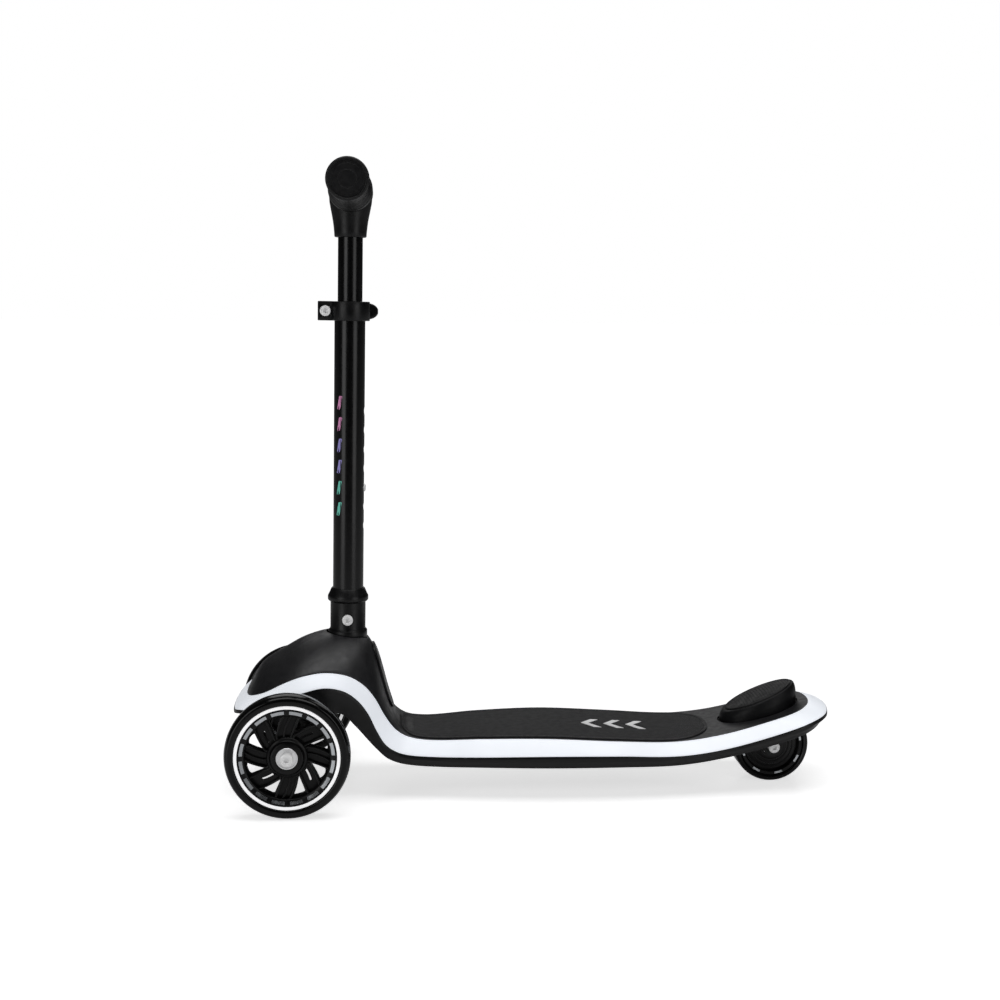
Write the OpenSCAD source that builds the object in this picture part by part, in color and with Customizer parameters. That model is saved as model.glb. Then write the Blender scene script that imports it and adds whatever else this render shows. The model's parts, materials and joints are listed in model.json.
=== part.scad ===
// Three-wheeled kick scooter that steers by leaning: two big wheels on a swinging truck in front,
// one small wide wheel under the tail, a bent plastic deck with a glowing rim, and a telescopic stem.
// +X is forward, +Y is the rider's left, +Z is up. Z = 0 is the ground.

/* [Wheels] */
// Diameter of each front tyre
front_wheel_d = 125; // [120:1:127]
// Width of each front tyre
front_wheel_w = 24; // [22:1:25]
// Distance between the middle planes of the two front tyres
track = 236; // [232:1:244]
// Diameter of the rear tyre
rear_wheel_d = 80; // [78:1:81]
// Width of the rear tyre
rear_wheel_w = 38; // [34:1:38]
// Distance from the front axle to the rear axle
wheelbase = 510; // [508:1:512]
// Distance from the origin forward to the front axle
front_axle_x = 253.5; // [250:0.5:262]

/* [Stem] */
// Outer diameter of the lower stem tube
lower_tube_d = 31.8; // [31.6:0.1:32]
// Outer diameter of the telescoping upper tube
upper_tube_d = 25.4; // [25.2:0.1:25.6]
// Height of the seat that the stem stands on
stem_seat_z = 157; // [156:0.5:158]
// Backward lean of the stem, in degrees
stem_rake = 0.6; // [0:0.1:1.5]
// Distance between two height settings of the stem
height_step = 20; // [18:1:22]
// Height settings below the stored one
steps_below = 2; // [1:1:2]
// Height settings above the stored one
steps_above = 4; // [2:1:5]

/* [Handlebar] */
// Length of the handlebar from end to end
bar_length = 332; // [280:2:340]
// Height of the handlebar's middle over the stem seat
bar_height = 464; // [462:1:470]
// Diameter of a grip
grip_d = 42; // [40:0.5:42]

/* [Steering] */
// Angle of the truck's pivot over the ground, in degrees
pivot_angle = 45; // [43:1:47]
// Height of the truck's pivot centre
pivot_z = 68; // [67:0.5:69]

/* [Deck] */
// Wall of the deck's two shells
deck_wall = 3; // [2.5:0.1:3.2]
// Thickness of the light band
band_wall = 2.2; // [1.8:0.1:2.6]
// Thickness of the anti-slip mat
mat_wall = 1; // [0.8:0.1:1.2]

/* [Brake] */
// Length of the brake pedal
pedal_length = 82; // [80:1:84]
// Width of the brake pedal
pedal_width = 62; // [58:1:63]
// Height of the brake pedal over the deck
pedal_height = 25; // [24:0.5:27]
// Air between the brake shoe and the rear tyre
shoe_gap = 2.9; // [2.8:0.1:3.2]

/* [Hidden] */

black = [0.03, 0.03, 0.035];
satin = [0.09, 0.09, 0.095];
steel = [0.75, 0.76, 0.78];
round_fn = 96;
small_fn = 48;

front_r = front_wheel_d / 2;
rear_r = rear_wheel_d / 2;
rear_axle_x = front_axle_x - wheelbase;

// A 608 ball bearing, the standard one in small wheels
bearing_r = 11;
bearing_bore_r = 4;
bearing_w = 7;
axle_r = 3.95;

// ---- deck curves -------------------------------------------------------------------------------
// Each edge runs from the nose's tip along the left side to the tail's tip. A row is
// [distance ahead of the front axle, half-width, height].
top_edge = [
    [48, 0, 103], [46, 28, 104], [39, 49, 107.5], [25, 63, 114], [5, 69, 124.5], [-14, 70.5, 131.5],
    [-36, 69, 134.5], [-58, 64, 130], [-74, 59, 119.5], [-86, 56, 104.5], [-96, 54, 86],
    [-107, 52, 71], [-121, 51, 62.5], [-145, 53, 59.3], [-195, 60, 61.4], [-265, 66, 62.3],
    [-340, 66, 58.8], [-400, 60.5, 56.6], [-450, 55, 62.2], [-500, 50.5, 74.3], [-530, 44, 82.8],
    [-545, 28, 87.6], [-550, 0, 89]
];
band_edge = [
    [61, 0, 89], [59.5, 30, 90.5], [54, 55, 94], [34, 76, 99.5], [6, 83, 110], [-14, 84.5, 117.5],
    [-35, 83, 121.8], [-54, 78, 117.5], [-68, 73.5, 107], [-79, 70.5, 92], [-88, 68.5, 73],
    [-98, 67, 57.5], [-114, 66, 48.5], [-143, 67, 45.3], [-195, 74, 45.8], [-265, 80, 47.3],
    [-340, 80, 46.7], [-400, 75, 44.8], [-450, 69, 50], [-502, 65, 62.5], [-538, 60.5, 73.5],
    [-561, 43, 80.5], [-569, 0, 83]
];
bottom_edge = [
    [57, 0, 82], [55, 28, 83], [49, 51, 86], [30, 72, 92.5], [6, 79.5, 94], [-14, 81, 94],
    [-33, 79.5, 94], [-52, 74.5, 92], [-66, 70.5, 78], [-78, 67.5, 63.5], [-88, 65.5, 52],
    [-99, 64, 42], [-115, 63, 36], [-143, 64, 33.2], [-195, 71, 33.2], [-265, 77, 33.2],
    [-340, 77, 33.2], [-400, 72, 33.2], [-450, 66, 38.8], [-502, 62, 50.5], [-538, 57.5, 61.5],
    [-556, 40, 68.5], [-563, 0, 71]
];
// Rise of the nose and neck over the top edge, along the middle: [distance, rise]
dome_rise = [
    [48, 0], [41, 10], [34, 18.5], [26, 22], [9, 23], [-10, 26], [-35, 30], [-60, 36], [-76, 43],
    [-85, 41], [-92, 32], [-98, 19], [-105, 8], [-113, 2], [-122, 0]
];
dome_power = 0.9;
steps_per_span = 3;

// Mirror the right-hand half onto an edge and shift it into place
function closed_rows(rows) = concat(
    [for (r = rows) [front_axle_x + r.x, r.y, r.z]],
    [for (i = [len(rows) - 2:-1:1]) [front_axle_x + rows[i].x, -rows[i].y, rows[i].z]]
);
function pick(list, i) = list[(i + len(list)) % len(list)];
function slope_at(p, i) =
    (pick(p, i + 1) - pick(p, i - 1)) / (norm(pick(p, i + 1) - p[i]) + norm(p[i] - pick(p, i - 1)));
function between(a, b, ta, tb, u) = let (d = norm(b - a))
    (2 * u ^ 3 - 3 * u ^ 2 + 1) * a + (u ^ 3 - 2 * u ^ 2 + u) * d * ta
    + (3 * u ^ 2 - 2 * u ^ 3) * b + (u ^ 3 - u ^ 2) * d * tb;
// A smooth closed curve through the rows
function smooth_loop(p, steps) = [
    for (i = [0:len(p) - 1], s = [0:steps - 1])
        between(p[i], pick(p, i + 1), slope_at(p, i), slope_at(p, (i + 1) % len(p)), s / steps)
];

top_loop = smooth_loop(closed_rows(top_edge), steps_per_span);
band_loop = smooth_loop(closed_rows(band_edge), steps_per_span);
bottom_loop = smooth_loop(closed_rows(bottom_edge), steps_per_span);
half_count = len(top_loop) / 2;

edge_height = [for (i = [0:half_count]) [top_loop[i].x, top_loop[i].z]];
edge_width = [for (i = [0:half_count]) [top_loop[i].x, top_loop[i].y]];
rise_table = [for (r = dome_rise) [front_axle_x + r.x, r.y]];

// Height of the deck's upper skin over the ground at a place in plan
function skin_z(x, y) =
    lookup(x, edge_height) + lookup(x, rise_table)
    * pow(max(0, 1 - pow(y / max(1, lookup(x, edge_width)), 2)), dome_power);

// Pull a loop towards the deck's middle line by the factor v
nose_centre = front_axle_x + 8;
tail_centre = front_axle_x - 520;
function pulled(loop, v, front = nose_centre, rear = tail_centre) = [
    for (p = loop) let (c = min(front, max(rear, p.x))) [c + v * (p.x - c), v * p.y, p.z]
];
function on_skin(loop, lift) = [for (p = loop) [p.x, p.y, skin_z(p.x, p.y) + lift]];

// Unit vectors of the chamfer that the light band fills: up along it, and straight into the deck
function up_chamfer(i) = (top_loop[i] - band_loop[i]) / norm(top_loop[i] - band_loop[i]);
function into_deck(i) = let (u = up_chamfer(i), flat = norm([u.x, u.y]))
    [u.x / flat * u.z, u.y / flat * u.z, -flat];
function beside(loop, along, into) =
    [for (i = [0:len(loop) - 1]) loop[i] + along * up_chamfer(i) + into * into_deck(i)];
function toward_middle(loop, inset, lift) = [
    for (i = [0:len(loop) - 1]) let (u = up_chamfer(i), flat = norm([u.x, u.y]))
        loop[i] + [inset * u.x / flat, inset * u.y / flat, lift]
];

// Skin over a stack of closed loops. The first and last are filled straight across, unless ring
// is true, when the last loop joins the first.
module loft(loops, ring = false) {
    n = len(loops[0]);
    m = len(loops);
    rows = ring ? m : m - 1;
    sides = [
        for (r = [0:rows - 1], j = [0:n - 1])
            let (a = r * n + j, b = r * n + (j + 1) % n, q = ((r + 1) % m) * n)
            each [[a, b, q + (j + 1) % n], [a, q + (j + 1) % n, q + j]]
    ];
    last = (m - 1) * n;
    caps = ring ? [] : concat(
        [for (k = [0:n / 2 - 2]) [k + 1, k, n - k - 1]],
        [for (k = [1:n / 2 - 1]) [k, n - k, n - k - 1]],
        [for (k = [0:n / 2 - 2]) [last + k, last + k + 1, last + n - k - 1]],
        [for (k = [1:n / 2 - 1]) [last + k, last + n - k - 1, last + n - k]]
    );
    polyhedron([for (l = loops) each l], concat(sides, caps));
}

// ---- placing helpers ---------------------------------------------------------------------------
stem_x = front_axle_x - 57.3;
// Stem frame: origin on the stem's axis at the seat, z up along the stem
module on_stem(h = 0) {
    translate([stem_x, 0, stem_seat_z]) rotate([0, -stem_rake, 0]) translate([0, 0, h]) children();
}
// Pivot frame: origin on the truck's pivot, z along the pivot, up and forward
pivot_x = front_axle_x - 3;
module on_pivot() {
    translate([pivot_x, 0, pivot_z]) rotate([0, 90 - pivot_angle, 0]) children();
}
// Wheel frame: origin at the wheel's middle, z along its axle towards +Y
module on_front_axle(y) {
    translate([front_axle_x, y, front_r]) rotate([-90, 0, 0]) children();
}
module on_rear_axle() {
    translate([rear_axle_x, 0, rear_r]) rotate([-90, 0, 0]) children();
}
module ring_of(r_out, r_in, h) {
    difference() {
        cylinder(r = r_out, h = h, $fn = round_fn);
        translate([0, 0, -1]) cylinder(r = r_in, h = h + 2, $fn = round_fn);
    }
}
// A bolt with its head's top at z = 0 and its shank pointing down
module bolt(shank_r, length, head_r, head_h, hex_r) {
    difference() {
        union() {
            translate([0, 0, -head_h]) cylinder(r = head_r, h = head_h - 1, $fn = small_fn);
            translate([0, 0, -1]) cylinder(r1 = head_r, r2 = head_r - 1, h = 1, $fn = small_fn);
            translate([0, 0, -head_h - length]) cylinder(r = shank_r, h = length + 1, $fn = small_fn);
        }
        translate([0, 0, -head_h * 0.6]) cylinder(r = hex_r, h = head_h, $fn = 6);
    }
}
module hex_nut(across, h, bore_r) {
    difference() {
        cylinder(r = across / 2 / cos(30), h = h, $fn = 6);
        translate([0, 0, -1]) cylinder(r = bore_r, h = h + 2, $fn = small_fn);
    }
}

// ---- deck shells -------------------------------------------------------------------------------
// Oval of the brake pedal in plan, seen from above, grown by a margin
pedal_x = rear_axle_x + 12.5;
module pedal_oval(margin) {
    translate([pedal_x, 0]) scale([1, (pedal_width / 2 + margin) / (pedal_length / 2 + margin)])
        circle(r = pedal_length / 2 + margin, $fn = 64);
}
wheel_slot_half_w = 29;
module wheel_slot() {
    translate([rear_axle_x - 39, -wheel_slot_half_w, 20]) cube([91, 2 * wheel_slot_half_w, 90]);
}
// Places of the fixing screws under the tray: [distance ahead of the front axle, side]
deck_screw_places = [for (x = [-135, -205, -275, -345, -405], y = [-1, 1]) [x, y * 48]];
deck_screw_r = 2;
screw_head_r = 3.6;
bottom_height = [for (i = [0:half_count]) [bottom_loop[i].x, bottom_loop[i].z]];
function underside_z(p) = lookup(front_axle_x + p.x, bottom_height);
bracket_screw_places = [for (x = [-36, 12], y = [-21, 21]) [x, y]];
rear_screw_places = [for (x = [-489, -527], y = [-36, 36]) [x, y]];
bracket_screw_r = 2.5;

// Frame of a rear screw: origin on the bracket's lower face, z along the screw and upward
rear_plate_t = 3.5;
module at_rear_screw(p) {
    x = front_axle_x + p.x;
    translate([x, p.y, rear_plate_z(x) - rear_plate_t]) rotate([0, rear_slope, 0]) children();
}

module deck_tray() {
    floor_lift = deck_wall + 0.5;
    color(black) difference() {
        loft([
            toward_middle(bottom_loop, 7, floor_lift),
            toward_middle(bottom_loop, 3.5, floor_lift + 2),
            beside(band_loop, 0, deck_wall + 0.2),
            band_loop,
            toward_middle(band_loop, -0.6, -4),
            toward_middle(bottom_loop, 0, 3),
            toward_middle(bottom_loop, 2.5, 0)
        ]);
        wheel_slot();
        for (p = deck_screw_places) translate([front_axle_x + p.x, p.y, underside_z(p)]) {
            translate([0, 0, -10]) cylinder(r = deck_screw_r + 0.3, h = 30, $fn = 24);
            translate([0, 0, -10]) cylinder(r = screw_head_r + 0.3, h = 11.8, $fn = small_fn);
        }
        for (p = bracket_screw_places)
            translate([front_axle_x + p.x, p.y, 85]) cylinder(r = bracket_screw_r + 0.3, h = 30, $fn = 24);
        for (p = rear_screw_places) at_rear_screw(p)
            translate([0, 0, -10]) cylinder(r = bracket_screw_r + 0.3, h = 40, $fn = 24);
    }
}

skin_rings = [0.08, 0.24, 0.42, 0.6, 0.76, 0.9];
seat_recess_r = 22.6;
module deck_cover() {
    under = deck_wall + 0.3;
    color(satin) difference() {
        union() {
            difference() {
                loft(concat(
                    [for (v = skin_rings) on_skin(pulled(top_loop, v), 0)],
                    [top_loop, beside(top_loop, 0, deck_wall + 0.2)],
                    [for (i = [len(skin_rings) - 1:-1:0]) on_skin(pulled(top_loop, skin_rings[i]), -under)]
                ));
                translate([stem_x, 0, stem_seat_z]) cylinder(r = seat_recess_r, h = 30, $fn = round_fn);
            }
            // Seat that the stem's base ring stands on
            translate([stem_x, 0, stem_seat_z - 5]) linear_extrude(5) intersection() {
                circle(r = seat_recess_r + 0.5, $fn = round_fn);
                translate([-21.5, -40]) square([80, 80]);
            }
        }
        translate([stem_x, 0, stem_seat_z - 30]) cylinder(r = 19.2, h = 60, $fn = round_fn);
        translate([0, 0, 40]) linear_extrude(90) pedal_oval(2.2);
    }
}

mat_rows = [
    [-114, 0], [-115, 30], [-124, 44], [-145, 48.5], [-195, 56], [-265, 62], [-340, 62], [-395, 57.5],
    [-420, 49], [-436, 29], [-441, 0]
];
mat_loop = smooth_loop(closed_rows([for (r = mat_rows) [r.x, r.y, 0]]), 2);
module grip_mat() {
    front = front_axle_x - 150;
    rear = front_axle_x - 405;
    gap = 0.45;
    color(black) loft([
        on_skin(pulled(mat_loop, 0.3, front, rear), gap + mat_wall),
        on_skin(mat_loop, gap + mat_wall),
        on_skin(mat_loop, gap),
        on_skin(pulled(mat_loop, 0.3, front, rear), gap)
    ]);
}

module light_band() {
    gap = 0.15;
    color([0.93, 0.96, 1]) loft([
        beside(top_loop, -gap, 0),
        beside(band_loop, gap, 0),
        beside(band_loop, gap, band_wall),
        beside(top_loop, -gap, band_wall)
    ], ring = true);
}

// Flexible board that carries the lamps behind the band
module led_strip() {
    color([0.85, 0.83, 0.75]) loft([
        beside(band_loop, 9, band_wall + 1.5),
        beside(band_loop, 4.5, band_wall + 1.5),
        beside(band_loop, 4.5, band_wall + 2.7),
        beside(band_loop, 9, band_wall + 2.7)
    ], ring = true);
}

module battery_pack() {
    color([0.15, 0.3, 0.6]) translate([front_axle_x - 255, 0, 47.2]) for (y = [-9.5, 9.5])
        translate([0, y, 0]) rotate([0, 90, 0]) cylinder(d = 18.4, h = 67, $fn = small_fn);
}

module control_board() {
    color([0.05, 0.3, 0.12]) translate([front_axle_x - 183, -17, 38]) {
        cube([34, 34, 1.6]);
        for (x = [4, 14, 24]) translate([x, 8, 1.6]) cube([6, 12, 3]);
    }
}

// Panel let into the back of the neck, with a slot across its upper part
panel_rows = [[-82.5, 0], [-84, 14], [-89, 20], [-96, 20], [-102, 16], [-104.5, 0]];
panel_loop = smooth_loop(closed_rows([for (r = panel_rows) [r.x, r.y, 0]]), 3);
module neck_panel() {
    front = front_axle_x - 90;
    rear = front_axle_x - 97;
    function pushed(loop, back) = [for (p = loop) [p.x - back, p.y, skin_z(p.x, p.y) + back * 0.35]];
    color(black) difference() {
        loft([
            pushed(pulled(panel_loop, 0.2, front, rear), 2),
            pushed(pulled(panel_loop, 0.6, front, rear), 2),
            pushed(pulled(panel_loop, 0.94, front, rear), 2),
            pushed(panel_loop, 1.4),
            pushed(panel_loop, 0.5),
            pushed(pulled(panel_loop, 0.6, front, rear), 0.5),
            pushed(pulled(panel_loop, 0.2, front, rear), 0.5)
        ]);
        translate([front_axle_x - 92, -9, skin_z(front_axle_x - 90, 0) - 2]) cube([5, 18, 3.6]);
    }
}

// Ladder frame that carries the rider's weight between the shells
module deck_stiffener() {
    rail_z = 38.5;
    rail_h = 12;
    color([0.55, 0.56, 0.58]) translate([front_axle_x, 0, rail_z]) {
        for (y = [-36, 30]) translate([-418, y, 0]) cube([278, 6, rail_h]);
        for (x = [-418, -345, -268, -146]) translate([x, -30.5, 0]) cube([6, 61, rail_h]);
    }
}

module deck_screws() {
    color(steel) for (p = deck_screw_places)
        translate([front_axle_x + p.x, p.y, underside_z(p) + 0.3]) rotate([180, 0, 0])
            bolt(deck_screw_r, 12, screw_head_r, 1.4, 1.3);
}

// ---- stem --------------------------------------------------------------------------------------
lower_r = lower_tube_d / 2;
upper_r = upper_tube_d / 2;
tube_wall = 1.6;
socket_r = 18.4;
socket_top = 39.5;
socket_floor = -40;
clamp_h0 = 332;
clamp_h1 = 351.8;
foot_top_z = 102.5;
foot_z = 98.2;
bolt_h = 22;

module stem_socket() {
    color(black) difference() {
        union() {
            on_stem(0.3) cylinder(r1 = 19.6, r2 = 20.35, h = 1.5, $fn = round_fn);
            on_stem(1.8) cylinder(r = 20.35, h = 7, $fn = round_fn);
            on_stem(8.8) cylinder(r1 = 20.35, r2 = socket_r, h = 1.4, $fn = round_fn);
            on_stem(-58) cylinder(r = socket_r, h = 58 + socket_top, $fn = round_fn);
            translate([front_axle_x - 78, -30, foot_z]) cube([98, 60, foot_top_z - foot_z]);
        }
        on_stem(socket_floor) cylinder(r = lower_r + 0.04, h = 100, $fn = round_fn);
        on_stem(bolt_h) rotate([90, 0, 0])
            cylinder(r = axle_r + 0.05, h = 60, center = true, $fn = small_fn);
        // The nose of the foot is cut back where it would foul the tray
        translate([front_axle_x - 100, -40, 60]) cube([200, 80, foot_z - 60]);
        for (p = bracket_screw_places)
            translate([front_axle_x + p.x, p.y, 80]) cylinder(r = bracket_screw_r + 0.05, h = 40, $fn = 24);
    }
}

module socket_bolt() {
    color(steel) on_stem(bolt_h) translate([0, 23.2, 0]) rotate([-90, 0, 0])
        bolt(axle_r, 44, 5.6, 4.6, 2.5);
}

// Bevelled ring that locks the lower tube in its socket
module collar_ring() {
    color(black) on_stem(socket_top + 0.2) rotate_extrude($fn = round_fn) polygon([
        [lower_r + 0.05, 0], [20, 0], [21.2, 1.5], [21.2, 5.6], [20.3, 7.2], [17.4, 13.8],
        [lower_r + 0.05, 13.8]
    ]);
}

button_h = 159;
button_r = 4;
module lower_tube() {
    bottom = socket_floor + 0.3;
    color(black) on_stem() difference() {
        translate([0, 0, bottom]) ring_of(lower_r, lower_r - tube_wall, clamp_h1 - 1 - bottom);
        for (i = [-steps_below:steps_above])
            translate([-lower_r, 0, button_h + i * height_step]) rotate([0, 90, 0])
                cylinder(r = button_r + 0.4, h = 12, center = true, $fn = small_fn);
        translate([0, 0, bolt_h]) rotate([90, 0, 0])
            cylinder(r = axle_r + 0.05, h = 60, center = true, $fn = small_fn);
        // Slit that lets the clamp squeeze the tube
        translate([0, -0.8, clamp_h1 - 32]) cube([30, 1.6, 40]);
    }
}

module tube_bushing() {
    color([0.2, 0.2, 0.2]) on_stem(clamp_h1 - 46)
        ring_of(lower_r - tube_wall - 0.05, upper_r + 0.06, 45);
}

ear_reach = 32.8;
clamp_bolt_x = 25;
clamp_h = clamp_h1 - clamp_h0;
module clamp_collar() {
    color(black) on_stem(clamp_h0) difference() {
        union() {
            translate([0, 0, 1]) cylinder(r = 20.5, h = clamp_h - 2, $fn = round_fn);
            cylinder(r1 = 19.5, r2 = 20.5, h = 1, $fn = round_fn);
            translate([0, 0, clamp_h - 1]) cylinder(r1 = 20.5, r2 = 19.5, h = 1, $fn = round_fn);
            translate([0, 8.5, clamp_h / 2]) rotate([90, 0, 0]) linear_extrude(17) {
                translate([0, -clamp_h / 2]) square([ear_reach - 6, clamp_h]);
                translate([ear_reach - 6, -clamp_h / 2 + 6]) square([6, clamp_h - 12]);
                for (z = [-1, 1])
                    translate([ear_reach - 6, z * (clamp_h / 2 - 6)]) circle(r = 6, $fn = small_fn);
            }
        }
        translate([0, 0, -1]) cylinder(r = lower_r + 0.05, h = clamp_h + 2, $fn = round_fn);
        translate([0, -1.2, -1]) cube([60, 2.4, clamp_h + 2]);
        translate([clamp_bolt_x, 0, clamp_h / 2]) rotate([90, 0, 0])
            cylinder(r = 2.6, h = 60, center = true, $fn = small_fn);
    }
}

lever_y = -16;
module clamp_bolt() {
    color(steel) on_stem(clamp_h0 + clamp_h / 2) translate([clamp_bolt_x, 13.2, 0]) rotate([-90, 0, 0])
        bolt(2.5, 8.7 - lever_y + 2.9, 5.5, 4.5, 2.5);
}

barrel_r = 3.5;
module clamp_barrel() {
    color(steel) on_stem(clamp_h0 + clamp_h / 2) translate([clamp_bolt_x, lever_y, 0]) difference() {
        cylinder(r = barrel_r, h = 15, center = true, $fn = small_fn);
        translate([0, 6, 0]) rotate([90, 0, 0]) cylinder(r = 2.55, h = 9.1, $fn = small_fn);
    }
}

// Quick-release lever: a round cam on the barrel and an arm that wraps the tube to a rounded end
lever_path = [[clamp_bolt_x - 2, lever_y - 3], [10, -26], [-12, -28.5]];
module clamp_lever() {
    arm_r = 2.6;
    slot_h = 6.4;
    tip_r = 8.7;
    color(black) on_stem(clamp_h0 + clamp_h / 2) difference() {
        union() {
            translate([clamp_bolt_x, lever_y, 0]) cylinder(r = 6.6, h = 15, center = true, $fn = small_fn);
            for (i = [0:len(lever_path) - 2]) hull() {
                for (k = [i, i + 1]) translate([lever_path[k].x, lever_path[k].y, 0])
                    cylinder(r = arm_r, h = 13 + 1.5 * k, center = true, $fn = 24);
            }
            hull() {
                translate([lever_path[2].x, lever_path[2].y, 0])
                    cylinder(r = arm_r, h = 16, center = true, $fn = 24);
                translate([-21.4, -24, 0]) rotate([90, 0, 0]) cylinder(r = tip_r, h = 5, $fn = small_fn);
            }
        }
        translate([clamp_bolt_x, lever_y, 0])
            cylinder(r = barrel_r + 0.05, h = 30, center = true, $fn = small_fn);
        // Room for the bolt as the lever swings
        translate([clamp_bolt_x, lever_y, 0]) cylinder(r = 12, h = slot_h, center = true, $fn = small_fn);
    }
}

// ---- handlebar ---------------------------------------------------------------------------------
upper_bottom = button_h - 16;
neck_h = 417;
module upper_tube() {
    color(black) on_stem() difference() {
        translate([0, 0, upper_bottom]) ring_of(upper_r, upper_r - 1.4, bar_height - 16 - upper_bottom);
        translate([-upper_r, 0, button_h]) rotate([0, 90, 0])
            cylinder(r = button_r + 0.3, h = 12, center = true, $fn = small_fn);
    }
}

bar_tube_r = 11.1;
barrel_half = 31;
module t_joint() {
    h = bar_height - neck_h;
    color(black) on_stem(neck_h) difference() {
        union() {
            rotate_extrude($fn = round_fn) polygon([
                [0, 0], [15.6, 0], [16.4, 0.8], [17, 7], [18.3, 17], [20, 26], [21.6, 34], [22.6, h], [0, h]
            ]);
            translate([0, 0, h]) rotate([90, 0, 0])
                cylinder(r = 22.6, h = 2 * barrel_half, center = true, $fn = round_fn);
        }
        translate([0, 0, -1]) cylinder(r = upper_r + 0.04, h = h - 14, $fn = round_fn);
        translate([0, 0, h]) rotate([90, 0, 0])
            cylinder(r = bar_tube_r + 0.04, h = 90, center = true, $fn = round_fn);
        translate([0, 0, h]) rotate([0, 90, 0]) cylinder(r = 2.6, h = 30, $fn = small_fn);
        translate([17, 0, h]) rotate([0, 90, 0]) cylinder(r = 5, h = 8, $fn = small_fn);
    }
}

module cross_tube() {
    color(black) on_stem(bar_height) difference() {
        rotate([90, 0, 0]) translate([0, 0, -bar_length / 2 + 6])
            ring_of(bar_tube_r, bar_tube_r - 1.6, bar_length - 12);
        rotate([0, 90, 0]) cylinder(r = 2.6, h = 30, $fn = small_fn);
    }
}

module bar_screw() {
    color(steel) on_stem(bar_height) translate([20, 0, 0]) rotate([0, 90, 0])
        bolt(2.5, 12, 4.6, 2.8, 2);
}

grip_r = grip_d / 2;
module grip(side) {
    start = barrel_half + 0.3;
    color(black) on_stem(bar_height) rotate([side > 0 ? -90 : 90, 0, 0]) difference() {
        rotate_extrude($fn = round_fn) polygon([
            [0, bar_length / 2 - 4], [bar_tube_r + 0.05, bar_length / 2 - 4],
            [bar_tube_r + 0.05, start], [20, start], [21, start + 1], [21, start + 4], [20, start + 5],
            [grip_r - 3, start + 8], [grip_r - 2, start + 40], [grip_r - 2.6, bar_length / 2 - 18],
            [grip_r, bar_length / 2 - 7], [grip_r, bar_length / 2 - 1.5], [grip_r - 1.5, bar_length / 2],
            [14, bar_length / 2], [13.4, bar_length / 2 - 0.8], [12.6, bar_length / 2 - 0.8],
            [12, bar_length / 2], [0, bar_length / 2]
        ]);
        // Two rows of grooves round the grip
        for (k = [0:9]) translate([0, 0, start + 16 + 6 * k])
            rotate_extrude($fn = small_fn) translate([grip_r - 1.4, 0]) circle(r = 0.8, $fn = 16);
    }
}
module left_grip() grip(1);
module right_grip() grip(-1);

// Sprung button that locks the height; it comes out of the back of the tube
button_out = 1.8;
module snap_button() {
    color(steel) on_stem(button_h) rotate([0, -90, 0]) {
        translate([0, 0, 8.2]) cylinder(r = button_r + 1.6, h = 1.3, $fn = small_fn);
        translate([0, 0, 9]) cylinder(r = button_r, h = lower_r + button_out - 1 - 9, $fn = small_fn);
        translate([0, 0, lower_r + button_out - 1])
            cylinder(r1 = button_r, r2 = button_r - 1, h = 1, $fn = small_fn);
    }
}

// Bent strip that pushes the button out, loose inside the upper tube
module snap_spring() {
    color(steel) on_stem(button_h) rotate([90, 0, 0]) linear_extrude(6, center = true) polygon([
        [-8, 7], [-8, -7], [-7, -12], [0, 22], [7, -12], [8, -12], [0.6, 25], [-0.6, 25], [-6.8, -8],
        [-7, 7]
    ]);
}

// ---- steering truck ----------------------------------------------------------------------------
kingpin_r = 4.95;
bush_r = 8;
boss_r = 13;
boss_half = 14;
ear_t = 5;
ear_half_w = 16;
web_in = 14.6;
web_out = 20.5;
bracket_top_z = 93.2;
module steer_bracket() {
    plate_z = 88.8;
    ear_out = boss_half + 0.5 + ear_t;
    color(black) difference() {
        union() {
            intersection() {
                on_pivot() rotate([90, 0, 0]) linear_extrude(2 * ear_half_w, center = true) difference() {
                    translate([-web_out, -ear_out]) square([web_out + 12, 2 * ear_out]);
                    translate([-web_in, -boss_half - 0.5]) square([60, 2 * boss_half + 1]);
                }
                translate([front_axle_x - 60, -40, 20]) cube([120, 80, bracket_top_z - 20]);
            }
            difference() {
                translate([front_axle_x - 43, -28, plate_z]) cube([62, 56, bracket_top_z - plate_z]);
                on_pivot() cylinder(r = boss_r + 1, h = 2 * boss_half + 1, center = true, $fn = round_fn);
                // Room for the kingpin's head
                on_pivot() translate([0, 0, boss_half]) cylinder(r = 9.5, h = 30, $fn = small_fn);
            }
        }
        on_pivot() cylinder(r = kingpin_r + 0.05, h = 80, center = true, $fn = small_fn);
        for (p = bracket_screw_places)
            translate([front_axle_x + p.x, p.y, 70]) cylinder(r = bracket_screw_r + 0.05, h = 40, $fn = 24);
    }
}

module bracket_screws() {
    color(steel) {
        for (p = bracket_screw_places)
            translate([front_axle_x + p.x, p.y, 85.8]) rotate([180, 0, 0])
                bolt(bracket_screw_r, 20, 4.5, 3, 2);
        for (p = rear_screw_places) at_rear_screw(p)
            translate([0, 0, -3.1]) rotate([180, 0, 0]) bolt(bracket_screw_r, 14, 4.5, 3, 2);
    }
}

kingpin_end = boss_half + 0.5 + ear_t;
module kingpin() {
    color(steel) on_pivot() translate([0, 0, kingpin_end + 6])
        bolt(kingpin_r, 2 * kingpin_end + 8, 7.5, 6, 4);
}

// Thread-locking nuts on the kingpin, the socket bolt and the rear axle
module lock_nuts() {
    color(steel) {
        on_pivot() translate([0, 0, -kingpin_end - 7.2]) hex_nut(15, 7, kingpin_r + 0.02);
        on_stem(bolt_h) translate([0, -18.6, 0]) rotate([90, 0, 0]) hex_nut(13, 6, axle_r + 0.02);
        on_rear_axle() translate([0, 0, -leg_out - 7]) hex_nut(13, 6.8, axle_r + 0.02);
    }
}

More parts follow.
